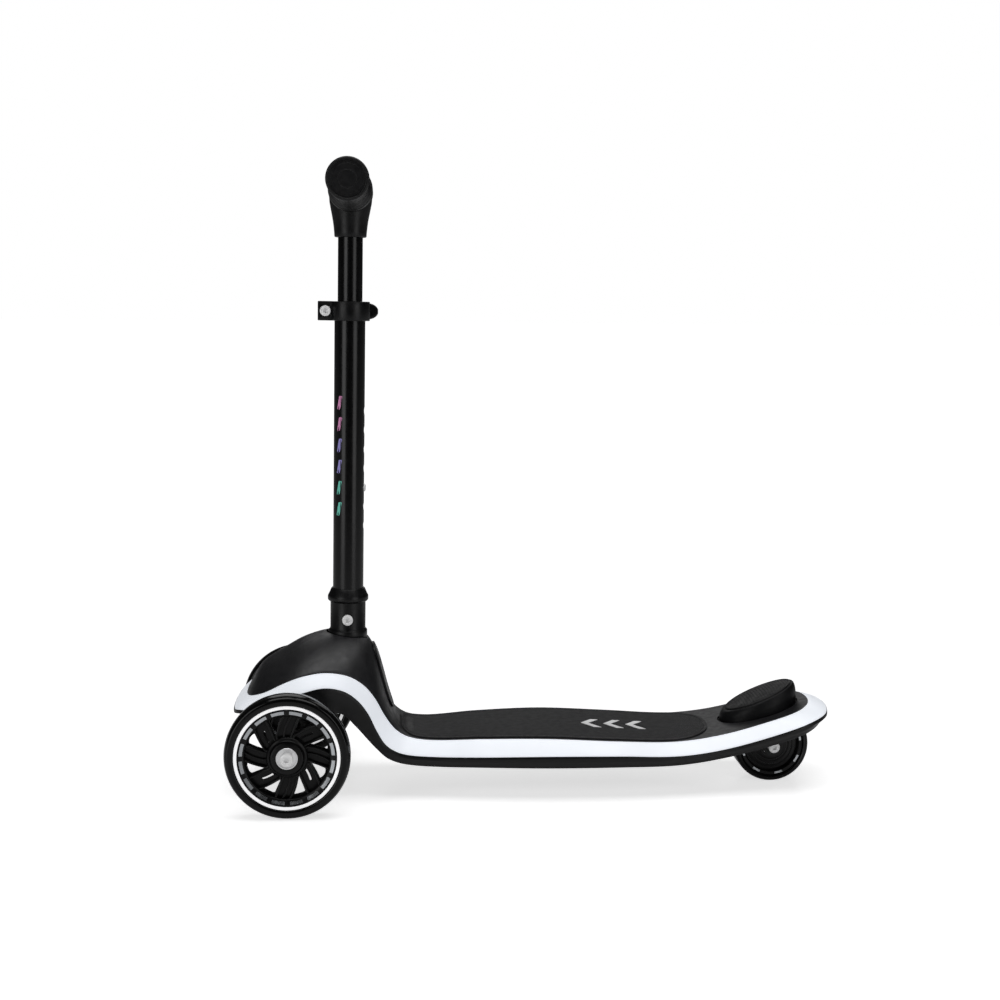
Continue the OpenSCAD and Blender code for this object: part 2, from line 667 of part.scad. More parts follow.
spring_y = 46;
module steer_springs() {
    wire_r = 1.1;
    coil_r = 6;
    top = 93.4;
    bottom = 71.4;
    coils = 6;
    pitch = (top - bottom - 2 * wire_r) / (coils - 1);
    color(steel) for (side = [-1, 1]) translate([front_axle_x, side * spring_y, 0])
        for (i = [0:coils - 1]) translate([0, 0, bottom + wire_r + i * pitch])
            rotate_extrude($fn = small_fn) translate([coil_r, 0]) circle(r = wire_r, $fn = 16);
}

beam_end = track / 2 - 14.5;
module truck_beam() {
    color(black) difference() {
        union() {
            on_pivot() cylinder(r = boss_r, h = 2 * boss_half, center = true, $fn = round_fn);
            for (side = [-1, 1]) scale([1, side, 1]) {
                translate([front_axle_x, 10, front_r]) rotate([-90, 0, 0])
                    linear_extrude(spring_y - 1) beam_section(7.5, 7);
                translate([front_axle_x, spring_y + 8, front_r]) rotate([-90, 0, 0])
                    cylinder(r = 8, h = beam_end - spring_y - 8, $fn = small_fn);
                translate([front_axle_x, spring_y, front_r + 4]) cylinder(r = 8.5, h = 4.6, $fn = small_fn);
                translate([front_axle_x, spring_y, front_r + 8]) cylinder(r = 4.5, h = 5, $fn = small_fn);
            }
        }
        on_pivot() cylinder(r = bush_r + 0.02, h = 60, center = true, $fn = small_fn);
        for (side = [-1, 1]) translate([front_axle_x, side * (beam_end - 15), front_r]) rotate([90, 0, 0])
            cylinder(r = axle_r + 0.02, h = 40, center = true, $fn = small_fn);
    }
}
module beam_section(half_x, half_z) {
    corner = 3;
    translate([-half_x + corner, -half_z]) square([2 * (half_x - corner), 2 * half_z]);
    translate([-half_x, -half_z + corner]) square([2 * half_x, 2 * (half_z - corner)]);
    for (x = [-1, 1], z = [-1, 1]) translate([x * (half_x - corner), z * (half_z - corner)])
        circle(r = corner, $fn = 32);
}

module pivot_bushes() {
    color([0.85, 0.83, 0.7]) on_pivot() for (side = [-1, 1]) scale([1, 1, side]) translate([0, 0, 0.2])
        ring_of(bush_r, kingpin_r + 0.05, boss_half);
}

hub_half = 12.5;
module axle_bolts() {
    head_top = track / 2 + hub_half + 6.2;
    color(steel) for (side = [-1, 1]) translate([front_axle_x, side * head_top, front_r])
        rotate([side > 0 ? -90 : 90, 0, 0]) bolt(axle_r, 48, 6.5, 5.2, 3);
}

// Thin washers that keep the bearings off the beam's ends and off the bolt heads
module axle_spacers() {
    color(steel) for (side = [-1, 1]) on_front_axle(side * track / 2) scale([1, 1, side]) {
        translate([0, 0, hub_half + 0.1]) ring_of(6.4, axle_r + 0.05, 0.8);
        translate([0, 0, -hub_half - 1.9]) ring_of(6.4, axle_r + 0.05, 1.8);
    }
}

// ---- wheels ------------------------------------------------------------------------------------
rim_r = 48.6;
module front_tyre() {
    half = front_wheel_w / 2;
    face = half - 1.5;
    shoulder = front_r - 6;
    rotate_extrude($fn = round_fn) difference() {
        union() {
            translate([rim_r + 0.02, -face + 1]) square([4, 2 * face - 2]);
            translate([rim_r + 3.9, -face]) square([shoulder - rim_r - 3.9, 2 * face]);
            intersection() {
                translate([front_r - 17, 0]) circle(r = 17, $fn = 96);
                translate([shoulder - 1, -half]) square([20, 2 * half]);
            }
            for (z = [-1, 1]) translate([shoulder + 0.4, z * (half - 3.5)]) circle(r = 3.5, $fn = 48);
        }
    }
}

spoke_count = 8;
module turbine_spoke(lean) {
    sweep = 38 * lean;
    inner = 15;
    outer = 43;
    rows = 7;
    function at(k, off) =
        let (t = k / rows, r = inner + t * (outer - inner), a = sweep * t * t + off / r * 57.3)
        [r * cos(a), r * sin(a)];
    polygon(concat([for (k = [0:rows]) at(k, 2.6)], [for (k = [rows:-1:0]) at(k, -2.6)]));
}
module front_core() {
    half = 10.4;
    rotate_extrude($fn = round_fn) polygon([
        [41.5, -half], [rim_r, -half], [rim_r, half], [41.5, half], [43, 3], [43, -3]
    ]);
    rotate_extrude($fn = round_fn) polygon([
        [bearing_r + 0.01, -hub_half], [16, -hub_half], [18, -hub_half + 3], [18, hub_half - 3],
        [16, hub_half], [bearing_r + 0.01, hub_half]
    ]);
    for (i = [0:spoke_count - 1]) rotate(i * 360 / spoke_count) {
        translate([0, 0, 0.6]) linear_extrude(6.4) turbine_spoke(-1);
        translate([0, 0, -7]) linear_extrude(6.4) turbine_spoke(1);
    }
    rotate_extrude($fn = round_fn) translate([15, -0.7]) square([12, 1.4]);
}
module front_trim_rings() {
    face = front_wheel_w / 2 - 1.5;
    for (side = [-1, 1])
        scale([1, 1, side]) translate([0, 0, face - 0.95]) ring_of(rim_r + 3.85, rim_r + 0.6, 0.95);
}
module front_inserts() {
    count = 16;
    for (side = [-1, 1], i = [0:count - 1]) scale([1, 1, side]) rotate(i * 360 / count)
        translate([43.6, -6.4, 10.45]) cube([3.6, 12.8, 0.45]);
}
// Two ball bearings against the ends of the hub, and the sleeve that keeps them apart
module bearing_pair(half) {
    for (side = [-1, 1]) scale([1, 1, side]) translate([0, 0, half - bearing_w]) difference() {
        ring_of(bearing_r, bearing_bore_r, bearing_w);
        translate([0, 0, bearing_w - 0.5]) ring_of(9.4, 6.2, 1);
    }
    translate([0, 0, -half + bearing_w + 0.05])
        ring_of(6.2, bearing_bore_r + 0.05, 2 * half - 2 * bearing_w - 0.1);
}

module left_tyre() color([0.05, 0.05, 0.06]) on_front_axle(track / 2) front_tyre();
module left_core() color(black) on_front_axle(track / 2) front_core();
module left_trim_rings() color("white") on_front_axle(track / 2) front_trim_rings();
module left_inserts() color(steel) on_front_axle(track / 2) front_inserts();
module left_bearings() color(steel) on_front_axle(track / 2) bearing_pair(hub_half);
module right_tyre() color([0.05, 0.05, 0.06]) on_front_axle(-track / 2) front_tyre();
module right_core() color(black) on_front_axle(-track / 2) front_core();
module right_trim_rings() color("white") on_front_axle(-track / 2) front_trim_rings();
module right_inserts() color(steel) on_front_axle(-track / 2) front_inserts();
module right_bearings() color(steel) on_front_axle(-track / 2) bearing_pair(hub_half);

rear_rim_r = 33.5;
rear_hub_half = 18;
module rear_tyre() {
    half = rear_wheel_w / 2;
    color([0.05, 0.05, 0.06]) on_rear_axle() rotate_extrude($fn = round_fn) polygon(concat(
        [[rear_rim_r + 0.02, -half + 2], [rear_r - 5, -half + 0.4]],
        [for (a = [-75:15:75]) [rear_r - 5 + 5 * cos(a), (half - 5) * sign(a) + 5 * sin(a)]],
        [[rear_r - 5, half - 0.4], [rear_rim_r + 0.02, half - 2]]
    ));
}
module rear_core() {
    half = rear_wheel_w / 2 - 2.2;
    color(black) on_rear_axle() {
        rotate_extrude($fn = round_fn) polygon([
            [28.5, -half], [rear_rim_r, -half], [rear_rim_r, half], [28.5, half], [29.5, 6], [29.5, -6]
        ]);
        rotate_extrude($fn = round_fn) polygon([
            [bearing_r + 0.01, -rear_hub_half], [14.5, -rear_hub_half], [14.5, rear_hub_half],
            [bearing_r + 0.01, rear_hub_half]
        ]);
        rotate_extrude($fn = round_fn) translate([14, -4]) square([16, 8]);
        for (i = [0:5]) rotate(i * 60) translate([13, -1.5, -half + 3]) cube([17, 3, 2 * half - 6]);
    }
}
module rear_inserts() {
    half = rear_wheel_w / 2 - 2.2;
    color(steel) on_rear_axle() for (side = [-1, 1], i = [0:7]) scale([1, 1, side]) rotate(i * 45 + 15)
        translate([30.2, -4, half + 0.05]) cube([2.2, 8, 0.45]);
}
module rear_bearings() {
    color(steel) on_rear_axle() bearing_pair(rear_hub_half);
}

// ---- rear bracket and brake --------------------------------------------------------------------
leg_in = 21;
leg_out = 25.5;
rear_slope = 17.5;
// Height of the bracket's upper faces, which lean with the tail
function rear_plate_z(x) = 48.7 + (rear_axle_x + 11 - x) * tan(rear_slope);
pin_x = rear_axle_x + 43;
pin_z = 56;
pin_r = 2.5;
module rear_bracket() {
    plate_x0 = rear_axle_x - 28;
    plate_x1 = rear_axle_x + 32;
    color(black) difference() {
        union() {
            for (side = [-1, 1]) scale([1, side, 1]) {
                translate([0, leg_out, 0]) rotate([90, 0, 0]) linear_extrude(leg_out - leg_in) union() {
                    translate([rear_axle_x, rear_r]) circle(r = 10.5, $fn = small_fn);
                    polygon([
                        [rear_axle_x - 10.4, rear_r + 1], [rear_axle_x + 10.4, rear_r - 1],
                        [plate_x1 - 2, rear_plate_z(plate_x1 - 2) - 3],
                        [plate_x0 + 2, rear_plate_z(plate_x0 + 2) - 3]
                    ]);
                }
                translate([0, leg_out, 0]) rotate([90, 0, 0]) linear_extrude(leg_out - leg_in) polygon([
                    [plate_x1 - 4, rear_plate_z(plate_x1 - 4) - 4],
                    [plate_x1 - 22, rear_plate_z(plate_x1 - 22) - 3],
                    [pin_x - 5, pin_z + 3.6], [pin_x + 5, pin_z + 3.6], [pin_x + 5, pin_z - 5]
                ]);
                translate([0, 44, 0]) rotate([90, 0, 0]) linear_extrude(44 - leg_in) polygon([
                    [plate_x0, rear_plate_z(plate_x0) - rear_plate_t],
                    [plate_x1, rear_plate_z(plate_x1) - rear_plate_t],
                    [plate_x1, rear_plate_z(plate_x1)], [plate_x0, rear_plate_z(plate_x0)]
                ]);
            }
        }
        on_rear_axle() cylinder(r = axle_r + 0.05, h = 80, center = true, $fn = small_fn);
        translate([pin_x, 0, pin_z]) rotate([90, 0, 0])
            cylinder(r = pin_r + 0.03, h = 80, center = true, $fn = small_fn);
        for (p = rear_screw_places) at_rear_screw(p)
            translate([0, 0, -10]) cylinder(r = bracket_screw_r + 0.05, h = 40, $fn = 24);
    }
}

module rear_axle() {
    color(steel) on_rear_axle() {
        translate([0, 0, leg_out + 5.2]) bolt(axle_r, 2 * leg_out + 8, 6, 5, 3);
        for (side = [-1, 1]) scale([1, 1, side]) translate([0, 0, rear_hub_half + 0.1])
            ring_of(6.2, axle_r, leg_in - rear_hub_half - 0.2);
    }
}

module brake_pin() {
    color(steel) translate([pin_x, 0, pin_z]) rotate([90, 0, 0]) {
        cylinder(r = pin_r, h = 2 * leg_out + 2, center = true, $fn = small_fn);
        for (side = [-1, 1]) translate([0, 0, side * (leg_out + 1.6)])
            cylinder(r = 3.6, h = 2, center = true, $fn = small_fn);
    }
}

module brake_spring() {
    wire_r = 0.8;
    coil_r = 4.2;
    color(steel) translate([pin_x, 0, pin_z]) rotate([90, 0, 0]) {
        for (i = [-3:3]) translate([0, 0, i * 1.7]) rotate_extrude($fn = small_fn)
            translate([coil_r, 0]) circle(r = wire_r, $fn = 12);
    }
}

deck_slope = 14.4;
pedal_base_z = 66.5;
// The pedal's rings: [share of the oval, height over the deck at the front end, and at the rear end]
pedal_rings = [
    [1, -5, -5], [1, 2, 8], [0.985, 4.5, 14], [0.95, 6.5, 19], [0.9, 7.8, 22], [0.7, 9.3, 23.5],
    [0.45, 10.4, 24.6], [0.2, 10.9, 25.1]
];
lid_rings = [[0.86, 8.2, 22.4], [0.7, 9.3, 23.5], [0.45, 10.4, 24.6], [0.2, 10.9, 25.1]];
function pedal_ring(row, lift) = [
    for (i = [0:47]) let (
        a = i * 7.5,
        x = row[0] * pedal_length / 2 * cos(a),
        rise = row[2] + (row[1] - row[2]) * (x / pedal_length + 0.5)
    ) [
        pedal_x + x, row[0] * pedal_width / 2 * sin(a),
        pedal_base_z + (pedal_length / 2 - 7 - x) * tan(deck_slope) + rise * pedal_height / 25 + lift
    ]
];
module brake_pedal() {
    wall = 2.6;
    under = [for (r = pedal_rings) [r[0] - 2 * wall / pedal_length, r[1], r[2]]];
    n = len(pedal_rings);
    color(satin) difference() {
        union() {
            loft(concat(
                [for (i = [n - 1:-1:0]) pedal_ring(pedal_rings[i], 0)],
                [pedal_ring(under[0], 0)],
                [for (i = [1:n - 1]) pedal_ring(under[i], -wall)]
            ));
            for (side = [-1, 1]) scale([1, side, 1]) translate([0, 12.5, 0]) rotate([90, 0, 0])
                linear_extrude(4) polygon([
                    [pin_x - 4.5, pin_z - 1.5], [pin_x, pin_z - 4.8], [pin_x + 4.5, pin_z - 1.5],
                    [pin_x + 1, pin_z + 20], [pin_x - 15, pin_z + 29], [pin_x - 10, pin_z + 9.5]
                ]);
        }
        translate([pin_x, 0, pin_z]) rotate([90, 0, 0])
            cylinder(r = pin_r + 0.05, h = 80, center = true, $fn = small_fn);
    }
}

// Textured pad on top of the pedal
module brake_tread() {
    color(black) loft(concat(
        [for (i = [3:-1:0]) pedal_ring(lid_rings[i], 1.3)],
        [for (i = [0:3]) pedal_ring(lid_rings[i], 0.25)]
    ));
}

// Block under the pedal that rubs on the tyre
module brake_shoe() {
    color([0.12, 0.12, 0.12]) difference() {
        translate([rear_axle_x, 13, rear_r]) rotate([90, 0, 0]) linear_extrude(26)
            polygon([[-12, 30], [14, 30], [14, 48.6], [-12, 57.8]]);
        on_rear_axle() cylinder(r = rear_r + shoe_gap, h = 60, center = true, $fn = round_fn);
    }
}

deck_tray();
deck_cover();
grip_mat();
light_band();
led_strip();
battery_pack();
control_board();
neck_panel();
deck_stiffener();
deck_screws();
stem_socket();
socket_bolt();
collar_ring();
lower_tube();
tube_bushing();
clamp_collar();
clamp_bolt();
clamp_barrel();
steer_bracket();
bracket_screws();
kingpin();
lock_nuts();
steer_springs();
rear_bracket();
rear_axle();
brake_pin();
brake_spring();
truck_beam();
pivot_bushes();
axle_bolts();
axle_spacers();
left_tyre();
left_core();
left_trim_rings();
left_inserts();
left_bearings();
right_tyre();
right_core();
right_trim_rings();
right_inserts();
right_bearings();
rear_tyre();
rear_core();
rear_inserts();
rear_bearings();
brake_pedal();
brake_tread();
brake_shoe();
upper_tube();
t_joint();
cross_tube();
left_grip();
right_grip();
bar_screw();
snap_spring();
clamp_lever();
snap_button();
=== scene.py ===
# Kick scooter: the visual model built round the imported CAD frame. Lengths are in millimetres and become
# metres when a mesh is made. +X forward, +Y the rider's left, +Z up.
import json
import math
import bpy
import bmesh
import numpy as np
from mathutils import Matrix, Vector


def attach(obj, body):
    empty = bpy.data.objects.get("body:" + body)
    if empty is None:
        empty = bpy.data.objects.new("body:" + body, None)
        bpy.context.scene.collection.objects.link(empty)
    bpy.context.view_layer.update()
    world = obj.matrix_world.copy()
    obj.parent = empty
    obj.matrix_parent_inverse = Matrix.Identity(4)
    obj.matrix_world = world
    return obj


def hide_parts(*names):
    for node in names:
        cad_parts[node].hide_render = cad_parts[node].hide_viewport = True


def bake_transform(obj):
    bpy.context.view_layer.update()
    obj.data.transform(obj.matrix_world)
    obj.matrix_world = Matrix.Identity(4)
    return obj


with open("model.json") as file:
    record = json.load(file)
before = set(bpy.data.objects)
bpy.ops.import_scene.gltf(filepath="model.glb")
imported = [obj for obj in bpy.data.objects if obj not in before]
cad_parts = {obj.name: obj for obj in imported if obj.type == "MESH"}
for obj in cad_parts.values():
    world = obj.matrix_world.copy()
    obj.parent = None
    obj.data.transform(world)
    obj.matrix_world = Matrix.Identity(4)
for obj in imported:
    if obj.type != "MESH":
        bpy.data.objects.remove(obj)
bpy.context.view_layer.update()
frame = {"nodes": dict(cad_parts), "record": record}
MM = 0.001
TAU = 2 * math.pi

# ---- camera and light --------------------------------------------------------------------------
CAMERA_AT = (0.1587, 1.6984, 0.5044)
FOCAL_WIDTHS = 1.63
YAW, PITCH, ROLL = 0.072, 0.118, 0.007
forward = Vector((-math.sin(YAW) * math.cos(PITCH), -math.cos(YAW) * math.cos(PITCH), -math.sin(PITCH)))
level = Vector((-math.cos(YAW), math.sin(YAW), 0))
upright = level.cross(forward)
right = math.cos(ROLL) * level + math.sin(ROLL) * upright
up = -math.sin(ROLL) * level + math.cos(ROLL) * upright
cam_data = bpy.data.cameras.new("camera")
cam_data.sensor_width = 36
cam_data.lens = FOCAL_WIDTHS * cam_data.sensor_width
cam_data.clip_end = 50
camera = bpy.data.objects.new("camera", cam_data)
turn = Matrix((right, up, -forward)).transposed()
camera.matrix_world = Matrix.Translation(CAMERA_AT) @ turn.to_4x4()
bpy.context.scene.collection.objects.link(camera)
bpy.context.scene.camera = camera


def soft_box(name, place, aim, width, height, watts):
    data = bpy.data.lights.new(name, "AREA")
    data.shape = "RECTANGLE"
    data.size, data.size_y = width, height
    data.energy = watts
    lamp = bpy.data.objects.new(name, data)
    lamp.location = place
    lamp.rotation_euler = (Vector(aim) - Vector(place)).to_track_quat("-Z", "Y").to_euler()
    bpy.context.scene.collection.objects.link(lamp)


# Plain product-shot tones: white stays white
bpy.context.scene.view_settings.view_transform = "Standard"

AIM = (0.1, 0, 0.3)
soft_box("left_box", (1.72, 1.75, 0.75), AIM, 1.15, 1.8, 13)
soft_box("right_box", (-1.4, 1.75, 0.75), AIM, 1.1, 1.8, 10)
soft_box("top_box", (0.0, 0.2, 2.3), (0, 0, 0), 2.4, 1.6, 30)
soft_box("back_box", (-0.2, -2.2, 1.5), (0, 0, 0.2), 2.4, 1.2, 8)

world = bpy.data.worlds.new("studio")
bpy.context.scene.world = world
world.use_nodes = True
wn, wl = world.node_tree.nodes, world.node_tree.links
wn.clear()
w_out = wn.new("ShaderNodeOutputWorld")
w_mix = wn.new("ShaderNodeMixShader")
w_path = wn.new("ShaderNodeLightPath")
w_fill, w_back = wn.new("ShaderNodeBackground"), wn.new("ShaderNodeBackground")
w_fill.inputs["Color"].default_value = (1, 1, 1, 1)
w_fill.inputs["Strength"].default_value = 0.03
w_back.inputs["Color"].default_value = (1, 1, 1, 1)
w_back.inputs["Strength"].default_value = 1.0
wl.new(w_path.outputs["Is Camera Ray"], w_mix.inputs[0])
wl.new(w_fill.outputs[0], w_mix.inputs[1])
wl.new(w_back.outputs[0], w_mix.inputs[2])
wl.new(w_mix.outputs[0], w_out.inputs[0])


# ---- materials ---------------------------------------------------------------------------------
def surface(name, color, rough, metal=0.0, grain=1600, depth=0.04, vary=0.15, rough_vary=0.08,
            stretch=(1, 1, 1), specular=0.5, cells=0, glow=0.0, broad=18):
    """A Principled material with grain, uneven colour and uneven gloss. grain is in cells per metre and
    depth in millimetres."""
    mat = bpy.data.materials.new(name)
    mat.use_nodes = True
    nodes, links = mat.node_tree.nodes, mat.node_tree.links
    bsdf = nodes["Principled BSDF"]
    bsdf.inputs["Metallic"].default_value = metal
    bsdf.inputs["Specular IOR Level"].default_value = specular
    bsdf.inputs["IOR"].default_value = 1.5
    place = nodes.new("ShaderNodeTexCoord")
    mapping = nodes.new("ShaderNodeMapping")
    mapping.inputs["Scale"].default_value = stretch
    links.new(place.outputs["Object"], mapping.inputs["Vector"])

    def noise(scale, detail):
        node = nodes.new("ShaderNodeTexNoise")
        node.inputs["Scale"].default_value = scale
        node.inputs["Detail"].default_value = detail
        links.new(mapping.outputs[0], node.inputs["Vector"])
        return node.outputs[0]

    def spread(source, low, high):
        node = nodes.new("ShaderNodeMapRange")
        node.inputs["From Min"].default_value = 0.3
        node.inputs["From Max"].default_value = 0.7
        node.inputs["To Min"].default_value = low
        node.inputs["To Max"].default_value = high
        links.new(source, node.inputs["Value"])
        return node.outputs[0]

    patches = noise(broad, 5)
    mix = nodes.new("ShaderNodeMix")
    mix.data_type = "RGBA"
    mix.inputs["A"].default_value = [c * (1 - vary) for c in color] + [1]
    mix.inputs["B"].default_value = [min(1, c * (1 + vary)) for c in color] + [1]
    links.new(spread(patches, 0, 1), mix.inputs["Factor"])
    links.new(mix.outputs["Result"], bsdf.inputs["Base Color"])
    fine = noise(grain, 3)
    gloss = spread(noise(broad * 9, 4), max(0.02, rough - rough_vary), rough + rough_vary)
    links.new(gloss, bsdf.inputs["Roughness"])
    height = fine
    if cells:
        pattern = nodes.new("ShaderNodeTexVoronoi")
        pattern.inputs["Scale"].default_value = cells
        links.new(mapping.outputs[0], pattern.inputs["Vector"])
        height = pattern.outputs["Distance"]
    bump = nodes.new("ShaderNodeBump")
    bump.inputs["Distance"].default_value = depth * MM
    bump.inputs["Strength"].default_value = 1
    links.new(height, bump.inputs["Height"])
    links.new(bump.outputs[0], bsdf.inputs["Normal"])
    # Emission in the base colour: a real lamp for the light band, a painted glow for the white trim ring
    if glow:
        links.new(mix.outputs["Result"], bsdf.inputs["Emission Color"])
        bsdf.inputs["Emission Strength"].default_value = glow
    return mat


M = {
    "deck_black": surface("deck_black", (0.002, 0.002, 0.0024), 0.36, grain=1300, depth=0.012, specular=0.3),
    "deck_satin": surface("deck_satin", (0.0085, 0.0085, 0.0098), 0.42, grain=1500, depth=0.03, cells=1500),
    "mat": surface("mat", (0.0085, 0.0085, 0.0095), 0.5, grain=2600, depth=0.03, specular=0.4),
    "light": surface("light", (0.84, 0.87, 0.92), 0.35, grain=900, depth=0.006, vary=0.03, glow=0.36),
    "strip": surface("strip", (0.8, 0.77, 0.68), 0.5),
    "battery": surface("battery", (0.03, 0.12, 0.4), 0.3, depth=0.02),
    "board": surface("board", (0.01, 0.16, 0.06), 0.35, grain=700),
    "alloy": surface("alloy", (0.6, 0.61, 0.63), 0.35, metal=1, stretch=(0.05, 1, 1), grain=2200, depth=0.02),
    "steel": surface("steel", (0.97, 0.97, 0.98), 0.36, metal=0.08, grain=1800, depth=0.006, vary=0.06),
    "socket_black": surface("socket_black", (0.0022, 0.0022, 0.0026), 0.36, grain=1500, depth=0.014,
                            specular=0.3),
    "gloss_black": surface("gloss_black", (0.001, 0.001, 0.0012), 0.22, specular=0.36, grain=500, depth=0.004,
                           rough_vary=0.03),
    "bush": surface("bush", (0.7, 0.68, 0.6), 0.45),
    "cast_black": surface("cast_black", (0.003, 0.003, 0.0034), 0.5, grain=900, depth=0.06, specular=0.3),
    "tyre": surface("tyre", (0.0015, 0.0015, 0.0017), 0.16, specular=0.25, grain=420, depth=0.006, broad=9,
                    rough_vary=0.03),
    "wheel_black": surface("wheel_black", (0.0012, 0.0012, 0.0014), 0.34, grain=1200, depth=0.01,
                           specular=0.25),
    # Painted glow: the white trim rings emit light so they read bright white, though they are no lamp
    "white_ring": surface("white_ring", (0.95, 0.95, 0.96), 0.35, glow=0.4, grain=1200, depth=0.006,
                          vary=0.03),
    "silver": surface("silver", (0.5, 0.52, 0.54), 0.24, metal=1, grain=1500, depth=0.01, cells=900),
    "bearing": surface("bearing", (0.86, 0.86, 0.87), 0.14, metal=1, grain=1500, depth=0.003, vary=0.04),
    "shoe": surface("shoe", (0.012, 0.012, 0.012), 0.65, grain=1100, depth=0.05),
    "pedal_black": surface("pedal_black", (0.003, 0.003, 0.0035), 0.45, specular=0.2, grain=1500, depth=0.03,
                           cells=1500),
    "print_white": surface("print_white", (0.95, 0.95, 0.96), 0.45, grain=1500, depth=0.004),
    "print_pink": surface("print_pink", (0.75, 0.3, 0.55), 0.4, grain=1500, depth=0.004),
    "print_violet": surface("print_violet", (0.4, 0.36, 0.8), 0.4, grain=1500, depth=0.004),
    "print_mint": surface("print_mint", (0.2, 0.75, 0.6), 0.4, grain=1500, depth=0.004),
    "grip": surface("grip", (0.004, 0.004, 0.0045), 0.46, specular=0.3, grain=1700, depth=0.03, cells=1700),
}


# ---- mesh helpers ------------------------------------------------------------------------------
def piece(name, verts, faces, slot, body, *nodes, sharp=35):
    """A mesh object from points in millimetres, shaded smooth up to an angle in degrees."""
    mesh = bpy.data.meshes.new(name)
    mesh.from_pydata([(p[0] * MM, p[1] * MM, p[2] * MM) for p in verts], [], faces)
    bm = bmesh.new()
    bm.from_mesh(mesh)
    bmesh.ops.remove_doubles(bm, verts=bm.verts, dist=1e-6)
    bmesh.ops.recalc_face_normals(bm, faces=bm.faces)
    bm.to_mesh(mesh)
    bm.free()
    obj = bpy.data.objects.new(name, mesh)
    bpy.context.scene.collection.objects.link(obj)
    if slot:
        finish_piece(obj, slot, body, *nodes, sharp=sharp)
    return obj


def finish_piece(obj, slot, body, *nodes, sharp=35):
    obj.data.materials.clear()
    obj.data.materials.append(M[slot])
    obj.data.shade_smooth()
    obj.data.set_sharp_from_angle(angle=math.radians(sharp))
    if body:
        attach(obj, body)
    if nodes:
        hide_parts(*nodes)
    return obj


def repaint(obj, look):
    """Give one piece a finish of its own; it keeps its slot."""
    obj.data.materials[0] = M[look]


def freeze(obj):
    """Apply an object's modifiers to its mesh."""
    bpy.context.view_layer.update()
    shape = obj.evaluated_get(bpy.context.evaluated_depsgraph_get())
    mesh = bpy.data.meshes.new_from_object(shape)
    obj.modifiers.clear()
    old = obj.data
    obj.data = mesh
    bpy.data.meshes.remove(old)


def combine(obj, tools, how="DIFFERENCE"):
    for tool in tools:
        mod = obj.modifiers.new("cut", "BOOLEAN")
        mod.operation = how
        mod.solver = "EXACT"
        mod.object = tool
    freeze(obj)
    for tool in tools:
        bpy.data.objects.remove(tool)


def soften(obj, width, segments=2, angle=40):
    mod = obj.modifiers.new("soften", "BEVEL")
    mod.width = width * MM
    mod.segments = segments
    mod.limit_method = "ANGLE"
    mod.angle_limit = math.radians(angle)
    mod.harden_normals = False
    freeze(obj)


def loft_faces(n, m, ring=False):
    """Quads between m loops of n points each; ring also joins the last loop to the first."""
    faces = []
    for r in range(m if ring else m - 1):
        q = (r + 1) % m
        for j in range(n):
            k = (j + 1) % n
            faces.append((r * n + j, r * n + k, q * n + k, q * n + j))
    return faces


def tube_faces(n, m):
    """m loops of n points, closed at both ends."""
    return loft_faces(n, m) + [tuple(range(n)), tuple(range((m - 1) * n, m * n))]


def strip_cap(base, n):
    """Quads straight across a closed loop that is symmetric about its first point."""
    half = n // 2
    out = [(base, base + 1, base + n - 1)]
    out += [(base + k, base + k + 1, base + n - k - 1, base + n - k) for k in range(1, half - 1)]
    out.append((base + half - 1, base + half, base + half + 1))
    return out


def lofted(name, loops, slot=None, body=None, *nodes, ring=False, sharp=35):
    n, m = len(loops[0]), len(loops)
    faces = loft_faces(n, m, ring)
    if not ring:
        faces += strip_cap(0, n) + strip_cap((m - 1) * n, n)
    return piece(name, [p for loop in loops for p in loop], faces, slot, body, *nodes, sharp=sharp)


def turned(profile, place, segments=128, closed=True):
    """Points and faces of a profile of (radius, along) turned about an axis. place maps (u, v, w) to the
    model, with w along the axis."""
    verts, faces = [], []
    count = len(profile)
    for i in range(segments):
        a = TAU * i / segments
        for r, w in profile:
            verts.append(place(r * math.cos(a), r * math.sin(a), w))
    rows = count if closed else count - 1
    for i in range(segments):
        j = (i + 1) % segments
        for k in range(rows):
            l = (k + 1) % count
            faces.append((i * count + k, j * count + k, j * count + l, i * count + l))
    return verts, faces


def join(parts):
    verts, faces = [], []
    for vs, fs in parts:
        base = len(verts)
        verts += vs
        faces += [tuple(base + i for i in f) for f in fs]
    return verts, faces


def prism(outline, low, high, place):
    """A closed outline of (u, v) pushed from w = low to w = high."""
    n = len(outline)
    verts = [place(u, v, low) for u, v in outline] + [place(u, v, high) for u, v in outline]
    faces = [(i, (i + 1) % n, n + (i + 1) % n, n + i) for i in range(n)]
    return verts, faces + [tuple(range(n)), tuple(range(n, 2 * n))]


def polar(r, degrees):
    return r * math.cos(math.radians(degrees)), r * math.sin(math.radians(degrees))


def arc(r, start, stop, steps):
    return [polar(r, start + (stop - start) * i / steps) for i in range(steps + 1)]


def rounded(points, radius, steps=4):
    """Round the corners of a closed outline."""
    out = []
    n = len(points)
    for i in range(n):
        p, a, b = (np.array(points[k % n], float) for k in (i, i - 1, i + 1))
        da, db = a - p, b - p
        la, lb = np.linalg.norm(da), np.linalg.norm(db)
        r = min(radius, la * 0.45, lb * 0.45)
        start, stop = p + da / la * r, p + db / lb * r
        for s in range(steps + 1):
            t = s / steps
            out.append(tuple((1 - t) ** 2 * start + 2 * t * (1 - t) * p + t * t * stop))
    return out


def straight(x, y, z):
    return (x, y, z)


def drum(r, low, high, place, segments=96):
    return prism([polar(r, 360 * i / segments) for i in range(segments)], low, high, place)


def mirrored(profile, *middle):
    """A profile of (radius, along) followed by its mirror image; middle closes it on the inside."""
    return profile + [(r, -w) for r, w in profile[::-1]] + list(middle)


def tool(shape):
    """A scratch mesh that combine() uses up."""
    return piece("tool", *shape, None, None)


